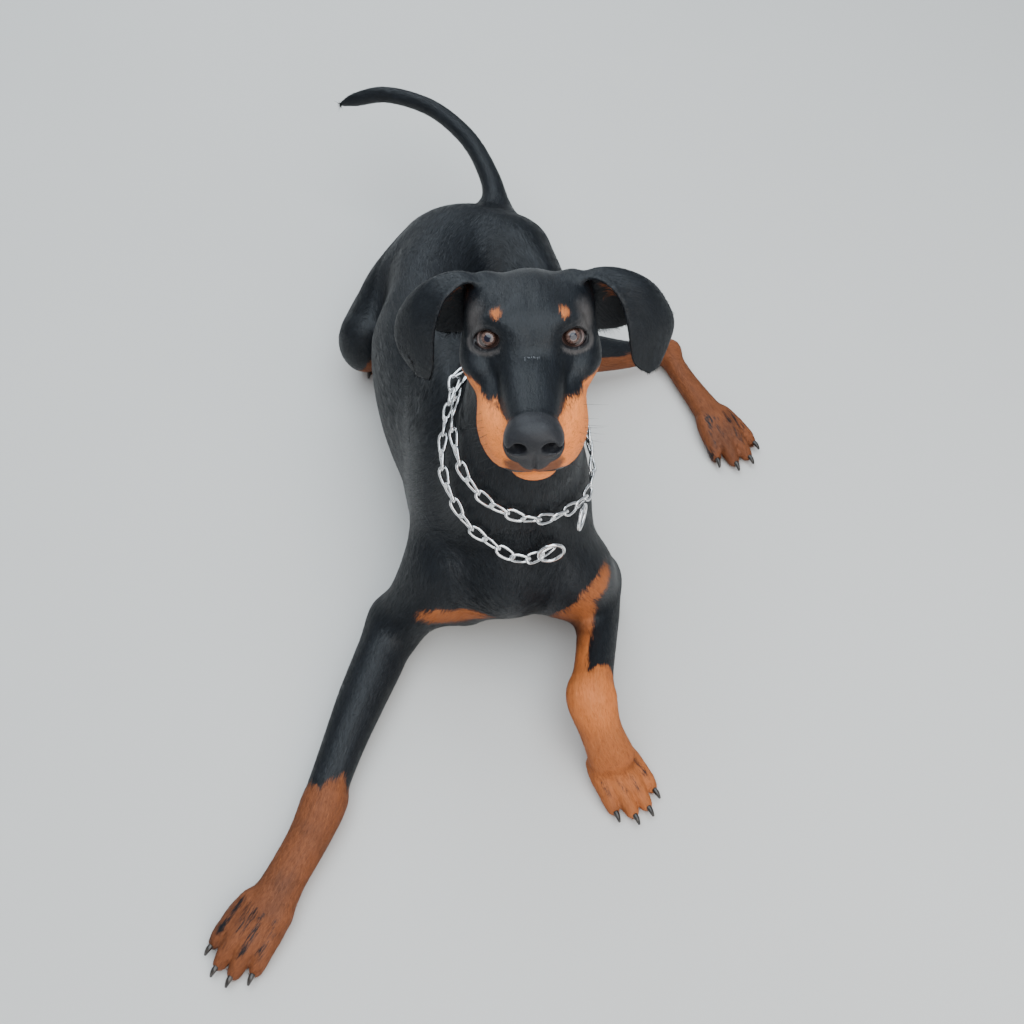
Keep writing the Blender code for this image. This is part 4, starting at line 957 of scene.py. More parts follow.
def strands():
    """The runs of the coat. Each has an offset, so that its coordinates meet those of the one it leaves."""
    # Name, rows, side, count of points, the run that it grows from, and the row where it leaves that run.
    across = (1, 0, 0)
    plan = [
        ("trunk", TRUNK, across, 28, None, None),
        ("neck", NECK, across, 20, "trunk", NECK[0]),
        ("head", head_rows(SKULL_RUN), across, 20, "neck", NECK[-1]),
        ("tail", TAIL, across, 24, "trunk", TAIL[0]),
    ]
    for hand, sign in (("left", 1), ("right", -1)):
        fore, hind = toes_of("forepaw_" + hand), toes_of("hindpaw_" + hand)
        fore_end, hind_end = (
            (*np.mean([toes[1][3][:3], toes[2][3][:3]], axis=0), wide, 0.01)
            for toes, wide in ((fore, 0.02), (hind, 0.018))
        )
        forearm, foot = (*FOREARM[hand], fore_end), (*HIND_FOOT[hand], hind_end)
        for part, rows, side, count, parent, joint in (
            ("shoulder_", SHOULDER[hand], across, 12, "trunk", 1),
            ("arm_", UPPER_ARM[hand], across, 12, "shoulder_" + hand, 0),
            ("fore_", forearm, across, 24, "arm_" + hand, 0),
            ("thigh_", THIGH[hand], across, 12, "trunk", 0),
            ("shank_", SHANK[hand], SHANK_SIDE[hand], 16, "thigh_" + hand, 0),
            ("foot_", foot, across, 16, "shank_" + hand, 0),
            ("ear_", ear_run(sign), (0, 1, 0), 20, "head", 0),
        ):
            plan.append((part + hand, rows, side, count, parent, rows[joint]))
    made = {}
    for name, rows, side, count, parent, joint in plan:
        run = Strand(rows, side, count, back=name == "neck")
        if parent is not None:
            at = np.array([joint[:3]])
            run.offset = made[parent].look(at)[1][0] + made[parent].offset - run.look(at)[1][0]
        made[name] = run
    return made


STRANDS = strands()


def lie_of(points):
    """Hair coordinates, heading of the hair and nearest run at each point, blended where runs meet."""
    gaps, local, heading = [], [], []
    for strand in STRANDS.values():
        d, c, h = strand.look(points)
        gaps.append(d)
        local.append(c + strand.offset)
        heading.append(h)
    gaps = np.stack(gaps)
    weight = np.exp(-(gaps - gaps.min(0)) / 0.007)
    weight /= weight.sum(0)
    coordinates = np.einsum("nk,nkc->kc", weight, np.stack(local))
    return coordinates, unit(np.einsum("nk,nkc->kc", weight, np.stack(heading))), gaps.argmin(0)


# The upper edge of the tan on the cheek and muzzle, as distance along the muzzle and height, in head metres.
CHEEK_EDGE = (
    (-0.0180, -0.0600), (-0.0172, -0.0480), (-0.0140, -0.0380), (-0.0080, -0.0300), (0.0000, -0.0258),
    (0.0080, -0.0238), (0.0300, -0.0290), (0.0450, -0.0250), (0.0570, -0.0225), (0.0750, -0.0195),
    (0.0950, -0.0160), (0.1120, -0.0120),
)
# Ovals of tan, as middle and radii: over each eye, in folded head metres, on the chest, and under the tail.
BROW_SPOT = ((0.0257, 0.0015, 0.0227), (0.0036, 0.0050, 0.0046))
CHEST_SPOTS = (
    ((-0.053, 0.458, 0.080), (0.034, 0.020, 0.013)),
    ((0.079, 0.482, 0.101), (0.021, 0.024, 0.010)),
)
VENT_SPOT = ((-0.020, 0.985, 0.092), (0.014, 0.030, 0.017))
# Where the tan of each foreleg ends, as y, and the way that the tan side of each shank faces.
TAN_END = {"left": 0.405, "right": 0.318}
TAN_SIDE = {"left": (0, -0.80, -0.60), "right": (0.8, 0, -0.6)}
# The bare leather of the nose: the bulb, the wings and the notch over the lip, and where it ends behind.
NOSE_OVALS = (
    ((0, 0.0985, -0.0215), (0.0225, 0.0190, 0.0180)),
    ((0.0125, 0.1000, -0.0260), (0.0125, 0.0150, 0.0130)),
    ((0, 0.1040, -0.0362), (0.0118, 0.0120, 0.0088)),
)
NOSE_END = 0.0855
# The sooty patch between the nose and the mouth, and a temple's lighter hair, partly painted sheen.
SOOT_OVAL = ((0, 0.098, -0.0440), (0.0225, 0.0200, 0.0150))
TEMPLE = ((0.0415, -0.010, 0.010), (0.011, 0.020, 0.014))
# The way the middle surface of an ear faces: 1 towards its hollow side.
EAR_HOLLOW = {1: 1.0, -1: -1.0}


def inside_oval(points, centre, radii):
    """How deep each point is inside an oval, in metres, negative outside."""
    q = (points - np.asarray(centre, float)) / np.asarray(radii, float)
    return (1 - np.linalg.norm(q, axis=1)) * min(radii)


def ear_side(points, hand):
    """How far points lie from an ear's middle surface, and their side of it, above 0 on the hollow side."""
    tree, grid = EAR_TREES[hand]
    flat = grid.reshape(-1, 3)
    near = np.all((points > flat.min(0) - 0.006) & (points < flat.max(0) + 0.006), axis=1)
    gap, side = np.full(len(points), FAR), np.zeros(len(points))
    found = [tree.find_nearest(v) for v in points[near].tolist()]
    if found:
        away = points[near] - np.array([tuple(f[0]) for f in found])
        gap[near] = size_of(away)
        side[near] = dot(away, np.array([tuple(f[1]) for f in found])) * EAR_HOLLOW[hand]
    return gap, side


def toe_marks(points):
    """Dark pencil lines along the tops of the toes, in metres inside their edge."""
    half_width, high = 0.0013, 0.014
    depth = np.full(len(points), OUTSIDE)
    for name in FEET:
        for root, _, tip, _ in toes_of(name):
            start, along = np.array(root[:3]), np.array(tip[:3]) - np.array(root[:3])
            t = np.clip((points - start) @ along / (along @ along), 0.10, 0.90)
            away = points - start - t[:, None] * along
            line = half_width - np.hypot(away[:, 0], away[:, 1])
            depth = np.maximum(depth, np.where((away[:, 2] > 0) & (away[:, 2] < high), line, OUTSIDE))
    return depth


def tan_depth(points):
    """How far inside the tan markings each point lies, in metres, negative in the black."""
    q = to_head(points)
    m = folded(q)
    edge = np.interp(m[:, 1], *np.array(CHEEK_EDGE).T)
    throat = m[:, 1] + 0.0178 - 1.25 * np.maximum(0, -0.056 - m[:, 2])
    cheek = np.minimum(edge - m[:, 2], throat)
    cheek = np.minimum(cheek, 0.070 - m[:, 0])
    depth = np.maximum(cheek, inside_oval(m, *BROW_SPOT))
    for hand in (1, -1):
        gap, side = ear_side(points, hand)
        inner = inside_oval(q, (0.064 * hand, -0.045, 0.010), (0.0145 - 0.0025 * hand, 0.020, 0.024))
        on_ear = np.where(side > 0, inner, OUTSIDE)
        depth = np.where(gap < 0.004, np.maximum(OUTSIDE, on_ear), depth)
    for spot in CHEST_SPOTS:
        depth = np.maximum(depth, inside_oval(points, *spot))
    for hand in HANDS:
        d, local, _ = STRANDS["fore_" + hand].look(points)
        leg = TAN_END[hand] - points[:, 1] + 0.40 * np.abs(local[:, 0] + 0.004) - 0.004
        leg = leg + 0.005 * np.sin(170 * local[:, 0] + 1.0) + 0.004 * np.sin(410 * local[:, 1])
        if hand == "left":
            leg = np.maximum(leg, np.minimum(-local[:, 0] - 0.005, 0.500 - points[:, 1]) * 0.7)
        depth = np.where(d < 0.030, np.maximum(depth, np.minimum(leg, 0.030 - d)), depth)
        d, _, _ = STRANDS["foot_" + hand].look(points)
        depth = np.maximum(depth, 0.014 - d)
        run = STRANDS["shank_" + hand]
        d, local, _ = run.look(points)
        axis = run.centre[np.argmin(np.linalg.norm(points[:, None] - run.centre[None], axis=2), axis=1)]
        side = (points - axis) @ np.array(TAN_SIDE[hand]) - 0.006 + 0.012 * ramp(local[:, 2], 0.06, 0.14)
        depth = np.maximum(depth, np.minimum(side, 0.012 - d))
    return np.minimum(np.maximum(depth, inside_oval(points, *VENT_SPOT)), -toe_marks(points))


def nose_depth(points):
    """How far inside the bare leather of the nose each point lies, in metres."""
    q = to_head(points)
    m = folded(q)
    depth = np.maximum.reduce([inside_oval(m, *spot) for spot in NOSE_OVALS])
    return np.minimum(depth, q[:, 1] - NOSE_END)


# The lower edge of the upper lip, as distance along the muzzle and height, in head metres.
LIP_HEM = ((0.052, -0.0625), (0.074, -0.0605), (0.089, -0.0555), (0.0955, -0.0515), (0.105, -0.0500))


def bare_depth(points):
    """Bare dark skin: the rims of the lids, the line of the mouth and the hem of the upper lip, whose dark
    band is partly painted shadow under the lip.
    """
    q = to_head(points)
    m = folded(q)
    rim = 0.0024 - np.abs(eye_opening(m))
    rim = np.where(np.linalg.norm(m - EYE_BALL, axis=1) < EYE_RADIUS + LID_REACH, rim, OUTSIDE)
    upper, lower = upper_lip(m), lower_jaw(q)
    lip = 0.0040 - 0.0010 * ramp(m[:, 0], 0.016, 0.026) - np.abs(upper - lower + 0.0006)
    lip = np.where((np.maximum(upper, lower) < 0.010) & (m[:, 1] > 0.004), lip, OUTSIDE)
    # The hem: the upper lip's own dark edge, painted together with the shadow under the lip.
    lowest = np.interp(m[:, 1], *np.array(LIP_HEM).T)
    width = 0.0034 * ramp(m[:, 1], 0.030, 0.088) - 0.0006
    on_lip = (upper < lower + 0.0010) & (upper < 0.006) & (m[:, 1] > 0.036)
    hem = np.where(on_lip, lowest + width - m[:, 2], OUTSIDE)
    lip = np.maximum(lip, np.minimum(hem, 0.0020))
    return np.maximum(rim, lip)


def follicles():
    """The roots of the whiskers: four rows on each side of the upper lip, found along level rays."""
    spots = []
    for row in range(4):
        for k in range(6 if row else 5):
            ahead = 0.0475 + 0.0072 * k + 0.0030 * (row % 2)
            spots.append((ahead, -0.0290 - 0.0062 * row - 0.0010 * k))
    spots = np.array(spots)

    def inside(half):
        return skin_field(from_head(np.column_stack([half, spots]))) < 0

    out, _ = halving(np.full(len(spots), 0.004), np.full(len(spots), 0.060), 16, inside)
    return np.column_stack([out, spots])[out > 0.006]


WHISKER_ROOTS = follicles()


def dots_depth(points):
    """How deep each point lies in one of the dark dots that the whiskers grow from."""
    m = folded(to_head(points))
    gap = np.full(len(points), 0.01)
    near = (m[:, 1] > 0.035) & (m[:, 2] < -0.020) & (m[:, 0] < 0.05)
    if near.any():
        away = m[near][:, None] - WHISKER_ROOTS[None]
        gap[near] = np.sqrt(np.einsum("nkc,nkc->nk", away, away)).min(1)
    return 0.0010 - gap


def soot_depth(points):
    """Dark hairs mixed into the rust between the nose and the mouth, in metres inside their edge."""
    return inside_oval(folded(to_head(points)), *SOOT_OVAL)


def grey_lids_and_sheen_depth(points):
    """Grey skin under thin hair at the lower lids, and lighter hair at the temples that is partly painted
    sheen, in metres inside its edge.
    """
    m = folded(to_head(points))
    lids = 0.0024 - np.abs(eye_opening(m) - 0.0046) - 0.0022 * ramp(m[:, 2] - EYE_BALL[2], -0.003, 0.006)
    lids = np.where(size_of(m - EYE_BALL) < EYE_RADIUS + 0.009, lids, OUTSIDE)
    return np.maximum(lids, inside_oval(m, *TEMPLE) * 0.35)


def face_and_light_share(points):
    """1 on the muzzle, where the tan is brightest and partly painted light, less on brow and left foreleg,
    and little elsewhere.
    """
    q = to_head(points)
    x, y, z = points.T
    on_head = 1 - ramp(size_of((q - (0, 0.01, -0.02)) / np.array((0.10, 0.13, 0.10))), 0.85, 1.05)
    brow, cheek = ramp(q[:, 2], -0.002, 0.012), ramp(np.abs(q[:, 0]), 0.044, 0.054)
    share = on_head * (1 - 0.62 * brow) * (1 - 0.85 * cheek)
    left = ramp(x, -0.01, 0.03) * (1 - ramp(y, 0.42, 0.47)) * (1 - ramp(z, 0.11, 0.14))
    return np.maximum(share, (0.24 * ramp(z, 0.06, 0.08) + 0.30 * left) * (1 - on_head))


class Signal:
    """One socket of a material, on which sums can be written."""

    def __init__(self, paint, socket):
        self.paint, self.socket = paint, socket

    def _sum(self, operation, *others):
        return self.paint.add("ShaderNodeMath", {"operation": operation}, (self, *others))

    def __add__(self, other):
        return self._sum("ADD", other)

    __radd__ = __add__

    def __sub__(self, other):
        return self._sum("SUBTRACT", other)

    def __rsub__(self, other):
        return self.paint.add("ShaderNodeMath", {"operation": "SUBTRACT"}, (other, self))

    def __mul__(self, other):
        return self._sum("MULTIPLY", other)

    def larger(self, other):
        return self._sum("MAXIMUM", other)

    def ramp(self, low, high):
        """0 below low, 1 above high, and a smooth step between."""
        settings = {"interpolation_type": "SMOOTHSTEP"}
        return self.paint.add("ShaderNodeMapRange", settings, (self, low, high, 0.0, 1.0))


class Paint:
    """One material: its nodes, and the shader that they feed."""

    def __init__(self, name, **values):
        self.material = bpy.data.materials.new(name)
        self.material.use_nodes = True
        self.tree = self.material.node_tree
        self.shader = self.tree.nodes["Principled BSDF"]
        self.set(**values)

    def add(self, kind, settings=None, inputs=(), output=0):
        """A node of a kind: its settings, then the values or links of its sockets."""
        node = self.tree.nodes.new(kind)
        for key, value in (settings or {}).items():
            setattr(node, key, value)
        for key, value in inputs.items() if isinstance(inputs, dict) else enumerate(inputs):
            self._feed(node.inputs[key], value)
        return Signal(self, node.outputs[output])

    def _feed(self, socket, value):
        if isinstance(value, Signal):
            self.tree.links.new(value.socket, socket)
        elif value is not None:
            socket.default_value = value

    def set(self, **values):
        """Sets or links the shader's sockets: base_color stands for Base Color, and so on."""
        for key, value in values.items():
            name = key.replace("_", " ").title().replace("Ior", "IOR")
            if isinstance(value, tuple) and len(value) == 3:
                value = (*value, 1)
            self._feed(self.shader.inputs[name], value)
        return self

    def attribute(self, name, vector=False):
        """A mesh attribute, as a number or as a vector."""
        return self.add("ShaderNodeAttribute", {"attribute_name": name}, output="Vector" if vector else "Fac")

    def place(self):
        """Where the point lies on its object, in metres."""
        return self.add("ShaderNodeTexCoord", output="Object")

    def noise(self, vector, scale, detail=2.0, rough=0.5, stretch=None):
        """Soft spots between 0 and 1, finer along the ways that stretch makes longer."""
        if stretch is not None:
            vector = self.add("ShaderNodeVectorMath", {"operation": "MULTIPLY"}, (vector, stretch))
        inputs = {"Vector": vector, "Scale": scale, "Detail": detail, "Roughness": rough}
        return self.add("ShaderNodeTexNoise", {}, inputs)

    def mix(self, factor, a, b):
        """A colour between a and b."""
        a, b = ((*c, 1) if isinstance(c, tuple) else c for c in (a, b))
        return self.add("ShaderNodeMix", {"data_type": "RGBA"}, {0: factor, 6: a, 7: b}, output=2)

    def bump(self, height, distance, strength, normal=None):
        """A normal bent by a height, on top of another normal where one is given."""
        inputs = {"Strength": strength, "Distance": distance, "Height": height, "Normal": normal}
        return self.add("ShaderNodeBump", {}, inputs)


# Black, in the shade between hairs and where hairs catch the light.
BLACK = (0.0046, 0.0058, 0.0076)
BLACK_LIT = (0.0120, 0.0150, 0.0195)
# Rust on the legs, chest and body: painted shade between hairs, the rust of the coat, and a painted highlight
# at the tips where hairs catch the light. Then the brighter face, partly its own colour and partly painted
# light.
RUST_SHADED_AND_LIT = ((0.046, 0.015, 0.006), (0.205, 0.062, 0.021), (0.37, 0.127, 0.048))
RUST_FACE_SHADED_AND_LIT = ((0.34, 0.085, 0.018), (0.96, 0.270, 0.060), (1.00, 0.375, 0.112))
# The other colours. Where there are two, the material mixes them.
SKIN_DARK = (0.010, 0.0085, 0.0095)
# Grey skin of the lower lids, also the temples' lighter hair, which is partly painted sheen.
SKIN_GREY_AND_SHEEN = (0.110, 0.100, 0.096)
LEATHER = (0.0085, 0.0090, 0.0125)
WHISKER_BED = (0.040, 0.026, 0.022)
IRIS = ((0.038, 0.019, 0.014), (0.150, 0.088, 0.070))
IRIS_EDGE = (0.020, 0.010, 0.008)
# The pupil is near black with a blue cast, which is a painted reflection.
PUPIL_AND_REFLECTION = (0.0040, 0.0045, 0.0140)
EYE_WHITE = ((0.040, 0.022, 0.018), (0.17, 0.115, 0.105))
STEEL = ((0.82, 0.83, 0.84), (0.93, 0.94, 0.95))
HORN = ((0.012, 0.010, 0.009), (0.060, 0.048, 0.040))
WHISKER = (0.010, 0.009, 0.009)
NICK = (0.40, 0.41, 0.44)
FLOOR = ((0.63, 0.615, 0.59), (0.67, 0.655, 0.63))


def coat_paint(name, hairs):
    """Short glossy hair, black or rust by the depth of the markings, and streaked along its lie.

    The skin's material also has the hair as bump, and paints the nose's leather and the bare rims.
    """
    paint = Paint(name, roughness=0.46, specular_ior_level=0.30, coat_roughness=0.42)
    hair = paint.attribute("hair", vector=True)
    marking = paint.attribute("tan")
    face = paint.attribute("face")
    streak = paint.noise(hair, 1.0, 3.0, 0.6, (900.0, 900.0, 110.0))
    lock = paint.noise(hair, 1.0, 2.0, 0.5, (160.0, 160.0, 28.0))
    cloud = paint.noise(paint.place(), 14.0, 2.0, 0.5)
    loose = 1 - face.ramp(0.02, 0.10)
    edge = marking + (streak - 0.5) * (0.0090 + loose * 0.0100) + (lock - 0.5) * (0.0065 + loose * 0.0090)
    tan = edge.ramp(-0.0016, 0.0016)
    tone = streak * 0.50 + lock * 0.30 + cloud * 0.20
    if hairs:
        tone = tone * 0.45 + paint.attribute("tone") * 0.55
    black = paint.mix(tone.ramp(0.30, 0.78), BLACK, BLACK_LIT)
    # Grey lower lids, and lighter temples that are partly a painted sheen.
    grey_and_sheen = paint.attribute("grey_and_sheen") + (streak - 0.5) * 0.0030
    black = paint.mix(grey_and_sheen.ramp(-0.0010, 0.0030) * 0.80, black, SKIN_GREY_AND_SHEEN)
    # The face share mixes in the brighter rust, which is partly painted light.
    shades = [paint.mix(face, low, high) for low, high in zip(RUST_SHADED_AND_LIT, RUST_FACE_SHADED_AND_LIT)]
    # Painted shade between hairs, the rust itself, and a painted highlight at the tips.
    rust = paint.mix(tone.ramp(0.22, 0.50), shades[0], shades[1])
    rust = paint.mix(tone.ramp(0.48, 0.85), rust, shades[2])
    soot = (cloud.ramp(0.50, 0.68) * 0.42 + lock.ramp(0.55, 0.8) * 0.24) * (1 - face)
    rust = paint.mix(soot, rust, SKIN_DARK)
    dots = paint.attribute("dots")
    rust = paint.mix((dots + (streak - 0.5) * 0.0008).ramp(-0.0003, 0.0005) * 0.75, rust, WHISKER_BED)
    muzzle_soot = paint.attribute("soot") + (lock - 0.5) * 0.006 + (streak - 0.5) * 0.004
    rust = paint.mix(muzzle_soot.ramp(-0.001, 0.004) * 0.84, rust, WHISKER_BED)
    colour = paint.mix(tan, black, rust)
    rough = 0.43 + tan * 0.22 + (lock - 0.5) * 0.16
    if hairs:
        return paint.set(base_color=colour, roughness=rough).material
    nose, bare = paint.attribute("nose"), paint.attribute("bare")
    grain = {"Vector": paint.place(), "Scale": 1100.0}
    pebble = paint.add("ShaderNodeTexVoronoi", {"feature": "DISTANCE_TO_EDGE"}, grain)
    leather = nose.ramp(-0.0004, 0.0006)
    skin = bare.ramp(-0.0004, 0.0010)
    colour = paint.mix(skin * (1 - leather), colour, SKIN_DARK)
    colour = paint.mix(leather, colour, LEATHER)
    fur = 1 - leather.larger(skin)
    height = paint.bump(streak * fur, 0.00045, 0.75)
    height = paint.bump(lock * fur, 0.0016, 0.55, height)
    height = paint.bump(pebble.ramp(0.0, 0.25) * leather, 0.00022, 0.8, height)
    rough = rough * fur + skin * (1 - leather) * 0.30 + leather * 0.44
    return paint.set(base_color=colour, roughness=rough, normal=height, coat_weight=leather * 0.35).material


# What the materials read at each point beside the lie of the hair.
DEPTHS = {
    "tan": tan_depth,
    "nose": nose_depth,
    "bare": bare_depth,
    "face": face_and_light_share,
    "dots": dots_depth,
    "soot": soot_depth,
    "grey_and_sheen": grey_lids_and_sheen_depth,
}


def skin_piece():
    """One closed surface for all the flesh."""
    points, faces = surface_on(skin_field, [grid_line(runs) for runs in GRID])
    obj = new_mesh("skin", points, faces)
    thin = obj.modifiers.new("thin", "DECIMATE")
    thin.ratio = min(1.0, SKIN_TRIANGLES / len(faces))
    mesh = bpy.data.meshes.new_from_object(obj.evaluated_get(bpy.context.evaluated_depsgraph_get()))
    bpy.data.objects.remove(obj)
    points = np.empty(len(mesh.vertices) * 3, np.float32)
    mesh.vertices.foreach_get("co", points)
    faces = np.empty(len(mesh.loops), np.int32)
    mesh.loops.foreach_get("vertex_index", faces)
    points = points.reshape(-1, 3).astype(float) + MIDDLE
    faces = faces.reshape(-1, 3)
    points = settled(skin_field, points, faces)
    points[:, 2] = np.maximum(points[:, 2], SKIN_FLOOR)
    obj = new_mesh("skin", points, faces, coat_paint("short_coat_skin", False))
    hair, heading, run = lie_of(points)
    values = {"hair": hair, **{name: depth(points) for name, depth in DEPTHS.items()}}
    for name, value in values.items():
        set_attribute(obj, name, value)
    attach(obj, "root")
    flesh_nodes = [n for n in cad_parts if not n.startswith(("claw", "eye", "collar"))]
    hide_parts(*flesh_nodes)
    return points, faces, {**values, "heading": heading, "run": run}


# How many hairs to a square metre, how long, how wide and how far their tips stand off, in metres, by run.
COAT = {
    "head": (2000000, 0.0036, 0.00034, 0.00042),
    "ear": (1600000, 0.0034, 0.00034, 0.00034),
    "neck": (520000, 0.0080, 0.00048, 0.0009),
    "trunk": (330000, 0.0095, 0.00058, 0.0010),
    "tail": (620000, 0.0085, 0.00046, 0.0010),
    "shoulder": (420000, 0.0085, 0.00052, 0.0009),
    "arm": (480000, 0.0080, 0.00050, 0.0008),
    "fore": (800000, 0.0058, 0.00042, 0.0007),
    "thigh": (400000, 0.0085, 0.00052, 0.0009),
    "shank": (560000, 0.0070, 0.00048, 0.0008),
    "foot": (900000, 0.0052, 0.00040, 0.0006),
}
# The pieces of the coat, and the runs that each one covers.
COAT_PIECES = {
    "coat_head": ("head",),
    "coat_ears": ("ear_left", "ear_right"),
    "coat_neck": ("neck",),
    "coat_trunk": ("trunk",),
    "coat_tail": ("tail",),
    "coat_forelegs": tuple(part + hand for part in ("shoulder_", "arm_", "fore_") for hand in HANDS),
    "coat_hind_legs": tuple(part + hand for part in ("thigh_", "shank_", "foot_") for hand in HANDS),
}
# The most hairs in a piece, how deep their roots stand in the skin, and how far their tips stay from the
# low and the high sides of the solids' box.
PIECE_HAIRS = 48000
ROOT_SUNK = 0.00018
TIP_LOW, TIP_HIGH = 0.0006, 0.0003


def atlas_cells():
    """The unwrap's cells: for each run the corner and the size of a box in the square."""
    cells = {"trunk": (0.0, 0.5, 0.5, 0.5), "head": (0.5, 0.5, 0.5, 0.5)}
    for i, name in enumerate(("neck", "fore_left", "fore_right", "tail")):
        cells[name] = (0.25 * i, 0.25, 0.25, 0.25)
    rest = [name for name in STRANDS if name not in cells]
    for i, name in enumerate(rest):
        cells[name] = (i / len(rest), 0.0, 1 / len(rest), 0.25)
    return cells


def unwrap(points, run):
    """Each point's place on the flat: its turn round its run and its way along it, in the run's own cell."""
    flat = np.zeros((len(points), 2))
    cells, border = atlas_cells(), 0.03
    for i, (name, strand) in enumerate(STRANDS.items()):
        mine = run == i
        if not mine.any():
            continue
        _, local, _ = strand.look(points[mine])
        turn = np.arctan2(local[:, 1], local[:, 0]) / (2 * np.pi) + 0.5
        way = np.clip(local[:, 2] / strand.length[-1], 0, 1)
        u, v, wide, high = cells[name]
        inner = 1 - 2 * border
        flat[mine] = np.column_stack([u + wide * (border + inner * turn), v + high * (border + inner * way)])
    return flat


def hairs_on(points, faces, values, seed):
    """Roots spread over the skin: on each triangle as many as its area and its run's density give."""
    rng = np.random.default_rng(seed)
    facing, normal = facing_of(points, faces)
    area = size_of(facing) / 2
    kinds = [name.rsplit("_", 1)[0] for name in STRANDS]
    table = np.array([COAT[kind] for kind in kinds])
    count = rng.poisson(area * table[values["run"][faces[:, 0]], 0])
    on = np.repeat(np.arange(len(faces)), count)
    u, v = rng.random((2, len(on)))
    flip = u + v > 1
    u[flip], v[flip] = 1 - u[flip], 1 - v[flip]
    share = np.column_stack([1 - u - v, u, v])
    corners = faces[on]

    def carried(value):
        return np.einsum("nk,nk...->n...", share, value[corners])

    root = {key: carried(value) for key, value in values.items() if key != "run"}
    root["place"], root["normal"] = carried(points), unit(carried(normal))
    root["run"] = values["run"][corners[:, 0]]
    m = folded(to_head(root["place"]))
    keep = (root["nose"] < -0.0006) & (root["bare"] < -0.0004) & (root["place"][:, 2] > 0.0035)
    keep &= (size_of(m - EYE_BALL) > EYE_RADIUS + 0.0030) & (eye_opening(m) > 0.0030)
    root = {key: value[keep] for key, value in root.items()}
    root["size"] = table[root["run"], 1:]
    return root


def coat_piece(name, root, material, rng):
    """Hairs as slim closed wedges: two edges and a ridge at the root, and one corner at the tip."""
    n = len(root["place"])
    long, wide, lift = root["size"].T
    q = to_head(root["place"])
    m = folded(q)
    near = 1 - ramp(size_of((q - (0, 0.075, -0.02)) / np.array((0.05, 0.06, 0.05))), 0.7, 1.4)
    near = np.maximum(near, 1.3 * (1 - ramp(size_of(m - EYE_BALL), EYE_RADIUS + 0.004, EYE_RADIUS + 0.012)))
    long = long * (1 - 0.38 * near) * rng.uniform(0.72, 1.25, n)
    long *= np.clip((0.0030 - root["bare"]) / 0.0080, 0.35, 1)
    wide = wide * rng.uniform(0.75, 1.25, n)
    lift = lift * rng.uniform(0.35, 1.0, n)
    up = root["normal"]
    lie = unit(root["heading"] - dot(root["heading"], up)[:, None] * up)
    side = np.cross(up, lie)
    stray = rng.normal(0, 0.13, n)[:, None]
    lie = unit(lie + side * stray)
    side = np.cross(up, lie)
    base = root["place"] - up * ROOT_SUNK
    tip = root["place"] + lie * long[:, None]
    tip += up * (lift - in_parts(skin_field, tip))[:, None]
    low, high = np.array(solids_box) + MIDDLE
    tip = np.clip(tip, low + TIP_LOW, high - TIP_HIGH)
    half = (wide / 2)[:, None]
    ridge = base + up * (wide * 0.30)[:, None] + lie * (long * 0.10)[:, None]
    corners = np.stack([base - side * half, base + side * half, ridge, tip], 1).reshape(-1, 3)
    start = np.arange(n)[:, None, None] * 4
    wedge = np.array(((0, 2, 3), (2, 1, 3), (1, 0, 3), (0, 1, 2)))
    obj = new_mesh(name, corners, (start + wedge).reshape(-1, 3), material)
    face_outward(obj)
    shade = unit(up + side * rng.normal(0, 0.16, n)[:, None] + lie * rng.normal(0.05, 0.10, n)[:, None])
    spread_out = np.stack([shade - side * 0.35, shade + side * 0.35, shade, shade], 1).reshape(-1, 3)
    obj.data.normals_split_custom_set_from_vertices(unit(spread_out).astype(np.float32))
    for key in ("hair", "tan", "face", "dots", "soot", "grey_and_sheen"):
        set_attribute(obj, key, np.repeat(root[key], 4, axis=0))
    set_attribute(obj, "tone", np.repeat(rng.uniform(0.2, 0.85, n), 4))
    flat = unwrap(root["place"], root["run"])
    patch = np.array(((-1, -1), (1, -1), (0, 0), (0, 1))) * 0.0015
    flat = (flat[:, None] + patch).reshape(-1, 2)
    index = np.empty(len(obj.data.loops), np.int32)
    obj.data.loops.foreach_get("vertex_index", index)
    obj.data.uv_layers.new(name="OFBake").data.foreach_set("uv", flat[index].astype(np.float32).ravel())
    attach(obj, "root")


def coat(points, faces, values):
    """The hairs, shared out in pieces along the body."""
    material = coat_paint("short_coat_hairs", True)
    root = hairs_on(points, faces, values, 5)
    names = list(STRANDS)
    for i, (name, runs) in enumerate(COAT_PIECES.items()):
        mine = np.nonzero(np.isin(root["run"], [names.index(run) for run in runs]))[0]
        mine = mine[np.argsort(root["place"][mine, 1], kind="stable")]
        shares = np.array_split(mine, max(1, -(-len(mine) // PIECE_HAIRS)))
        for j, share in enumerate(shares):
            part = {key: value[share] for key, value in root.items()}
            rng = np.random.default_rng(100 * i + j)
            coat_piece(name if len(shares) == 1 else "%s_%d" % (name, j + 1), part, material, rng)


# How far an eye's clear front stands out, and how much each eye turns outward from the viewer.
EYE_BULGE = 0.0007
EYE_TURN = 0.19


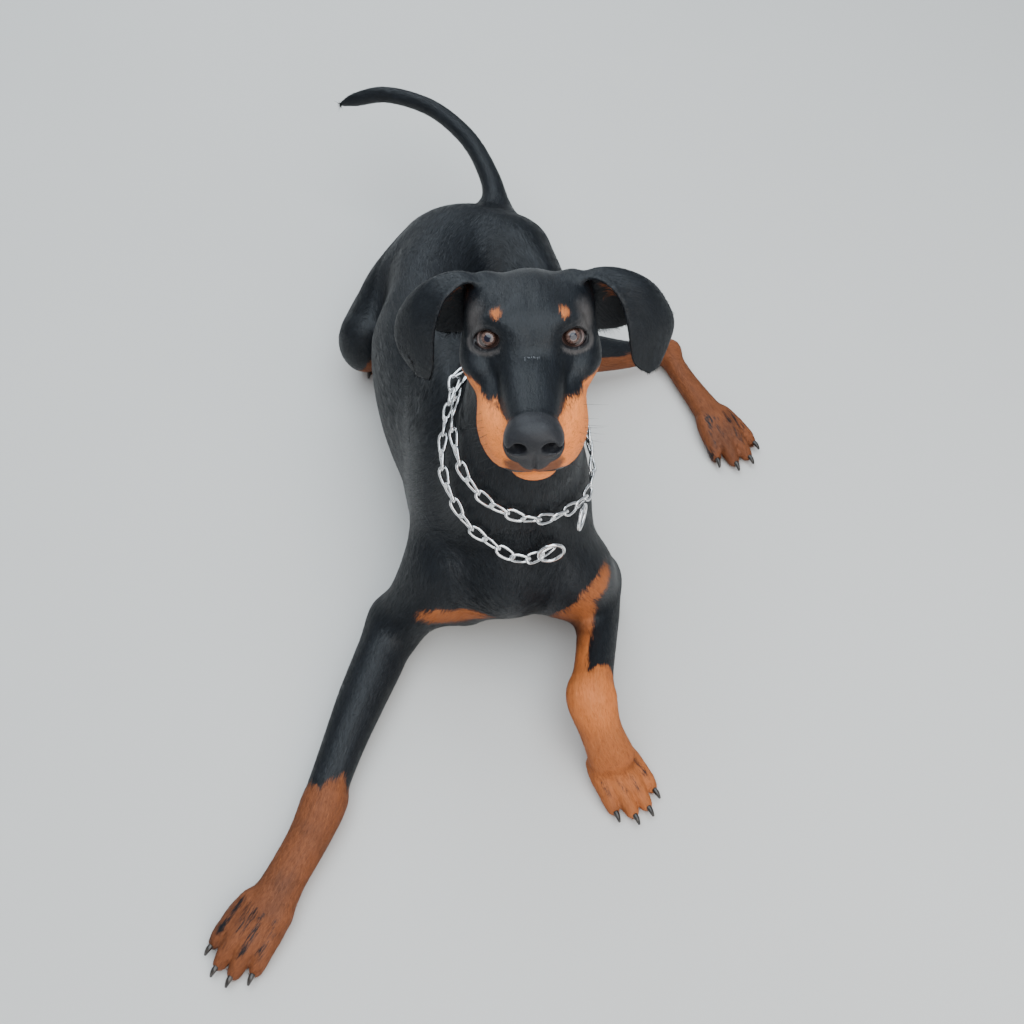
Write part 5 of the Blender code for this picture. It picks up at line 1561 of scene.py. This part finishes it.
def paint_eye():
    """A brown iris with a grey bloom, ringed by its dark edge, with a pupil whose blue cast is a painted
    reflection, and a clear wet coat.
    """
    paint = Paint("eye", roughness=0.20, specular_ior_level=0.10, coat_weight=1.0, coat_roughness=0.05)
    gaze = paint.attribute("gaze")
    spokes = paint.noise(paint.attribute("iris", vector=True), 1.0, 3.0, 0.6, (7.0, 7.0, 1.1))
    iris = paint.mix(spokes.ramp(0.34, 0.66), *IRIS)
    iris = paint.mix(gaze.ramp(0.0046, 0.0068), iris, IRIS_EDGE)
    iris = paint.mix(gaze.ramp(0.0026, 0.0031), PUPIL_AND_REFLECTION, iris)
    white = paint.mix(gaze.ramp(0.0082, 0.0100), *EYE_WHITE)
    colour = paint.mix(gaze.ramp(0.0070, 0.0077), iris, white)
    return paint.set(base_color=colour).material


def sheet_faces(rows, columns, closed):
    """Triangles between rings of points, each to the next, and from the last to the first in a closed row."""
    i = np.arange(rows if closed else rows - 1)[:, None]
    j = np.arange(columns)[None]
    a, b = i * columns + j, i * columns + (j + 1) % columns
    c, d = ((i + 1) % rows * columns + k for k in (j, (j + 1) % columns))
    return np.concatenate([np.stack([a, b, d], -1).reshape(-1, 3), np.stack([a, d, c], -1).reshape(-1, 3)])


def end_faces(rows, columns):
    """Triangles that close both ends of such rings, each to a point of its own after the last ring."""
    k = np.arange(columns)
    after, last = (k + 1) % columns, (rows - 1) * columns
    start = np.stack([np.full(columns, rows * columns), after, k], 1)
    end = np.stack([np.full(columns, rows * columns + 1), last + k, last + after], 1)
    return np.concatenate([start, end])


def eye_piece(hand, sign, material):
    """A ball whose clear front bulges a little, turned to look at the viewer."""
    centre = from_head(EYE_BALL * (sign, 1, 1))
    look = unit(np.array((0, 0, VIEW_HIGH)) - centre)
    look = unit(look + EYE_TURN * sign * HEAD_AXES[0])
    side = unit(np.cross(look, (0, 0, 1)))
    up = np.cross(side, look)
    turn = turns(48)
    angle = np.concatenate([np.linspace(0, 1.0, 22)[1:], np.linspace(1.0, np.pi, 20)[1:-1]])
    radius = EYE_RADIUS - EYE_BULGE + EYE_BULGE * (1 - ramp(angle, 0.35, 0.66))
    ring = np.cos(turn)[None, :, None] * side + np.sin(turn)[None, :, None] * up
    ring = np.sin(angle)[:, None, None] * ring + np.cos(angle)[:, None, None] * look
    points = radius[:, None, None] * ring
    rows, columns = points.shape[:2]
    poles = [[look * EYE_RADIUS], [-look * (EYE_RADIUS - EYE_BULGE)]]
    points = np.concatenate([points.reshape(-1, 3), *poles])
    faces = np.concatenate([sheet_faces(rows, columns, False), end_faces(rows, columns)])
    obj = new_mesh("eyeball_" + hand, points + centre, faces, material)
    face_outward(obj)
    away = np.arccos(np.clip(unit(points) @ look, -1, 1))
    round_it = np.arctan2(points @ up, points @ side)
    set_attribute(obj, "gaze", away * EYE_RADIUS)
    set_attribute(obj, "iris", np.column_stack([np.cos(round_it), np.sin(round_it), away * 2]))
    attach(obj, "root")
    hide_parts("eye_" + hand)


def tube_mesh(line, radius, around, face, closed):
    """Points and triangles of a tube along a line, as arrays."""
    n = len(line)
    along = unit(np.roll(line, -1, 0) - np.roll(line, 1, 0)) if closed else unit(np.gradient(line, axis=0))
    across = unit(np.cross(along, face))
    rise = np.cross(across, along)
    angle = turns(around)
    radius = np.broadcast_to(np.asarray(radius, float), (n,))[:, None, None]
    ring = np.cos(angle)[None, :, None] * across[:, None] + np.sin(angle)[None, :, None] * rise[:, None]
    points = (line[:, None] + radius * ring).reshape(-1, 3)
    faces = sheet_faces(n, around, closed)
    if not closed:
        start = line[:1] - along[:1] * radius[0, 0] * 0.5
        end = line[-1:] + along[-1:] * radius[-1, 0] * 0.8
        points = np.concatenate([points, start, end])
        faces = np.concatenate([faces, end_faces(n, around)])
    return points, faces


def joined(parts):
    """Several points and faces as one."""
    start = np.cumsum([0] + [len(p) for p, _ in parts[:-1]])
    return np.concatenate([p for p, _ in parts]), np.concatenate([f + s for (_, f), s in zip(parts, start)])


def ring_line(centre, heading, side, count):
    """Points once round a ring, along the middle of its wire."""
    t = turns(count)[:, None]
    return centre + (heading * np.cos(t) + side * np.sin(t)) * (RING_RADIUS - WIRE)


def chain_piece():
    """The collar's links, round wire bent to squarish ovals with a twist, and its two rings."""
    middle, run, out = collar_links()
    parts = []
    for i in range(len(middle)):
        lean = math.radians(LINK_LEAN if i % 2 else -LINK_LEAN)
        rough, _ = link_line(middle[i], run[i], out[i], lean, 8)
        moved = clear_of_skin(rough, out[i], WIRE * 1.18 + LINK_CLEAR)[0] - rough[0]
        line, face = link_line(middle[i] + moved, run[i], out[i], lean, 28)
        line = line + out[i] * np.sin(2 * turns(28)[:, None]) * LINK_TWIST
        parts.append(tube_mesh(line, WIRE * 0.97, 8, face, True))
    for at, heading, face in RINGS:
        nearest = np.argmin(np.linalg.norm(middle - at, axis=1))
        heading = unit(heading)
        face = unit(np.asarray(face) - np.dot(face, heading) * heading)
        side = np.cross(face, heading)
        centre = middle[nearest] + heading * RING_HOOKED + heading * (RING_RADIUS - WIRE)
        ring = ring_line(centre, heading, side, 14)
        moved = clear_of_skin(ring, out[nearest], WIRE * 1.2 + LINK_CLEAR)[0] - ring[0]
        ring = ring_line(centre + moved, heading, side, 64)
        parts.append(tube_mesh(ring, WIRE * 1.15, 14, face, True))
    points, faces = joined(parts)
    paint = Paint("polished_steel", metallic=1.0)
    wear = paint.noise(paint.place(), 260.0, 3.0, 0.6)
    rub = paint.noise(paint.place(), 40.0, 2.0, 0.5)
    rough = 0.09 + wear.ramp(0.4, 0.8) * 0.16 + rub * 0.06
    paint.set(roughness=rough, base_color=paint.mix(rub.ramp(0.3, 0.7), *STEEL))
    obj = new_mesh("chain_collar", points, faces, paint.material)
    face_outward(obj)
    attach(obj, "root")
    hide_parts("collar")


def claw_pieces():
    """A horn claw on every toe, round at the root and tapering to a blunt point."""
    paint = Paint("dark_horn", roughness=0.32, coat_weight=0.2)
    grain = paint.noise(paint.place(), 420.0, 3.0, 0.6, (1.0, 0.25, 1.0))
    paint.set(base_color=paint.mix(grain.ramp(0.35, 0.75), *HORN))
    t = CLAW_WAY
    radius = 0.0025 * (1 - 0.10 * (t - 0.1) ** 2) * (1 - 0.62 * np.maximum(t - 0.15, 0) ** 1.5)
    for foot in FEET:
        for i, rows in enumerate(toes_of(foot)):
            node = "claw_%s_%d" % (foot.replace("paw", ""), i + 1)
            points, faces = tube_mesh(claw_line(rows), radius, 12, np.array((0, 0, 1.0)), False)
            obj = new_mesh(node.replace("claw", "horn"), points, faces, paint.material)
            face_outward(obj)
            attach(obj, "root")
            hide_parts(node)


def fine_hairs(name, roots, headings, bend, long, thick, colour, rng):
    """Slim round hairs, each a tube that thins to its tip and bends by the square of the way along it."""
    paint = Paint(name + "_hair", base_color=colour, roughness=0.42)
    shade = paint.noise(paint.place(), 900.0, 1.0)
    paint.set(base_color=paint.mix(shade, tuple(0.7 * c for c in colour), colour))
    parts = []
    for root, heading in zip(roots, headings):
        length = long * rng.uniform(0.7, 1.15)
        t = np.linspace(0, 1, 8)[:, None]
        turn = unit(bend + rng.normal(0, 0.25, 3))
        line = root + unit(heading) * length * t + turn * 0.28 * length * t**2
        radius = thick * (1 - 0.82 * t[:, 0])
        parts.append(tube_mesh(line, radius, 5, np.array((0.31, 0.17, 0.93)), False))
    obj = new_mesh(name, *joined(parts), paint.material)
    face_outward(obj)
    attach(obj, "root")


def whiskers():
    """Stiff hairs from about half the dots of the upper lip, swept out, and further back on the cheek."""
    rng = np.random.default_rng(11)
    roots, headings = [], []
    for sign in (1, -1):
        for s, f, h in WHISKER_ROOTS:
            if rng.random() < 0.55:
                roots.append(((s - 0.0006) * sign, f, h))
                back = 0.09 - f
                headings.append((sign * (0.75 + 40 * back), 0.55 - 9 * back, -0.25 + rng.normal(0, 0.12)))
    place = from_head(np.array(roots))
    onto = unit(np.array(headings)) @ HEAD_AXES
    bend = -HEAD_AXES[1] * 0.7 - HEAD_AXES[2] * 0.2
    fine_hairs("whiskers", place, onto, bend, 0.015, 0.00012, WHISKER, rng)


def nick_hairs():
    """A row of short white hairs across the bridge, all with the lie of the coat, where a nick has healed."""
    rng = np.random.default_rng(3)
    count = 9
    across = -0.0054 + 0.0014 * np.arange(count) + rng.normal(0, 0.0003, count)
    along = 0.0296 + rng.normal(0, 0.0005, count)
    place = from_head(np.column_stack([across, along, np.zeros(count)]))
    for _ in range(6):
        place = place - HEAD_AXES[2] * in_parts(skin_field, place)[:, None]
    headings = np.tile(HEAD_AXES[1] * 0.95 + HEAD_AXES[2] * 0.20 + HEAD_AXES[0] * 0.12, (count, 1))
    fine_hairs("nick_hairs", place, headings, HEAD_AXES[1] * 6, 0.0026, 0.00022, NICK, rng)


# The view: the camera's height in metres, how far it looks down in degrees, its focal length and the
# picture's width in pixels, and the sensor's width in millimetres.
VIEW_HIGH, VIEW_DOWN, VIEW_FOCAL, VIEW_WIDE, SENSOR = 1.0, 58, 1100, 1024, 36.0
# Half the floor's side and its height, just under the feet.
FLOOR_HALF, FLOOR_LOW = 9.0, -0.0002
SKY_COLOUR = (0.83, 0.93, 1.0)
# The lamps: name, place, aim, width, watts and colour.
LAMPS = (
    ("sky", (0.0, -0.05, 2.4), (0, 0, 0.1), 3.0, 82, SKY_COLOUR),
    ("behind", (-0.6, 1.9, 1.5), (0, 0.1, 0.15), 1.6, 20, SKY_COLOUR),
    ("front", (0.7, -1.5, 1.3), (0, -0.15, 0.2), 1.8, 26, (1.0, 0.98, 0.95)),
)
ROOM_COLOUR, ROOM_STRENGTH = (0.80, 0.84, 0.90, 1), 0.42


def light(name, place, aim, size, power, colour):
    """A round lamp that looks at its aim."""
    lamp = bpy.data.lights.new(name, "AREA")
    lamp.shape, lamp.size, lamp.energy, lamp.color = "DISK", size, power, colour
    obj = bpy.data.objects.new(name, lamp)
    obj.location = place
    obj.rotation_euler = (Vector(aim) - Vector(place)).to_track_quat("-Z", "Y").to_euler()
    bpy.context.scene.collection.objects.link(obj)


def studio():
    """A pale floor, soft light from above and behind, and the photograph's view from one metre up."""
    camera = bpy.data.cameras.new("camera")
    camera.sensor_width, camera.lens = SENSOR, SENSOR * VIEW_FOCAL / VIEW_WIDE
    eye = bpy.data.objects.new("camera", camera)
    eye.location = Vector((0, 0, VIEW_HIGH)) - Vector(MIDDLE)
    eye.rotation_euler = (math.radians(90 - VIEW_DOWN), 0, 0)
    bpy.context.scene.collection.objects.link(eye)
    bpy.context.scene.camera = eye
    quarters = ((-1, -1), (1, -1), (1, 1), (-1, 1))
    corners = np.array([(x * FLOOR_HALF, y * FLOOR_HALF, FLOOR_LOW) for x, y in quarters])
    paint = Paint("pale_floor", roughness=0.75)
    speck = paint.noise(paint.place(), 3.0, 3.0, 0.5)
    paint.set(base_color=paint.mix(speck, *FLOOR))
    floor = new_mesh("floor", corners + MIDDLE, [(0, 1, 2, 3)], paint.material, smooth=False)
    for lamp in LAMPS:
        light(*lamp)
    world = bpy.data.worlds.new("room")
    bpy.context.scene.world = world
    world.use_nodes = True
    world.node_tree.nodes["Background"].inputs["Color"].default_value = ROOM_COLOUR
    world.node_tree.nodes["Background"].inputs["Strength"].default_value = ROOM_STRENGTH


studio()
coat(*skin_piece())
eye_paint = paint_eye()
eye_piece("left", 1, eye_paint)
eye_piece("right", -1, eye_paint)
whiskers()
nick_hairs()
chain_piece()
claw_pieces()
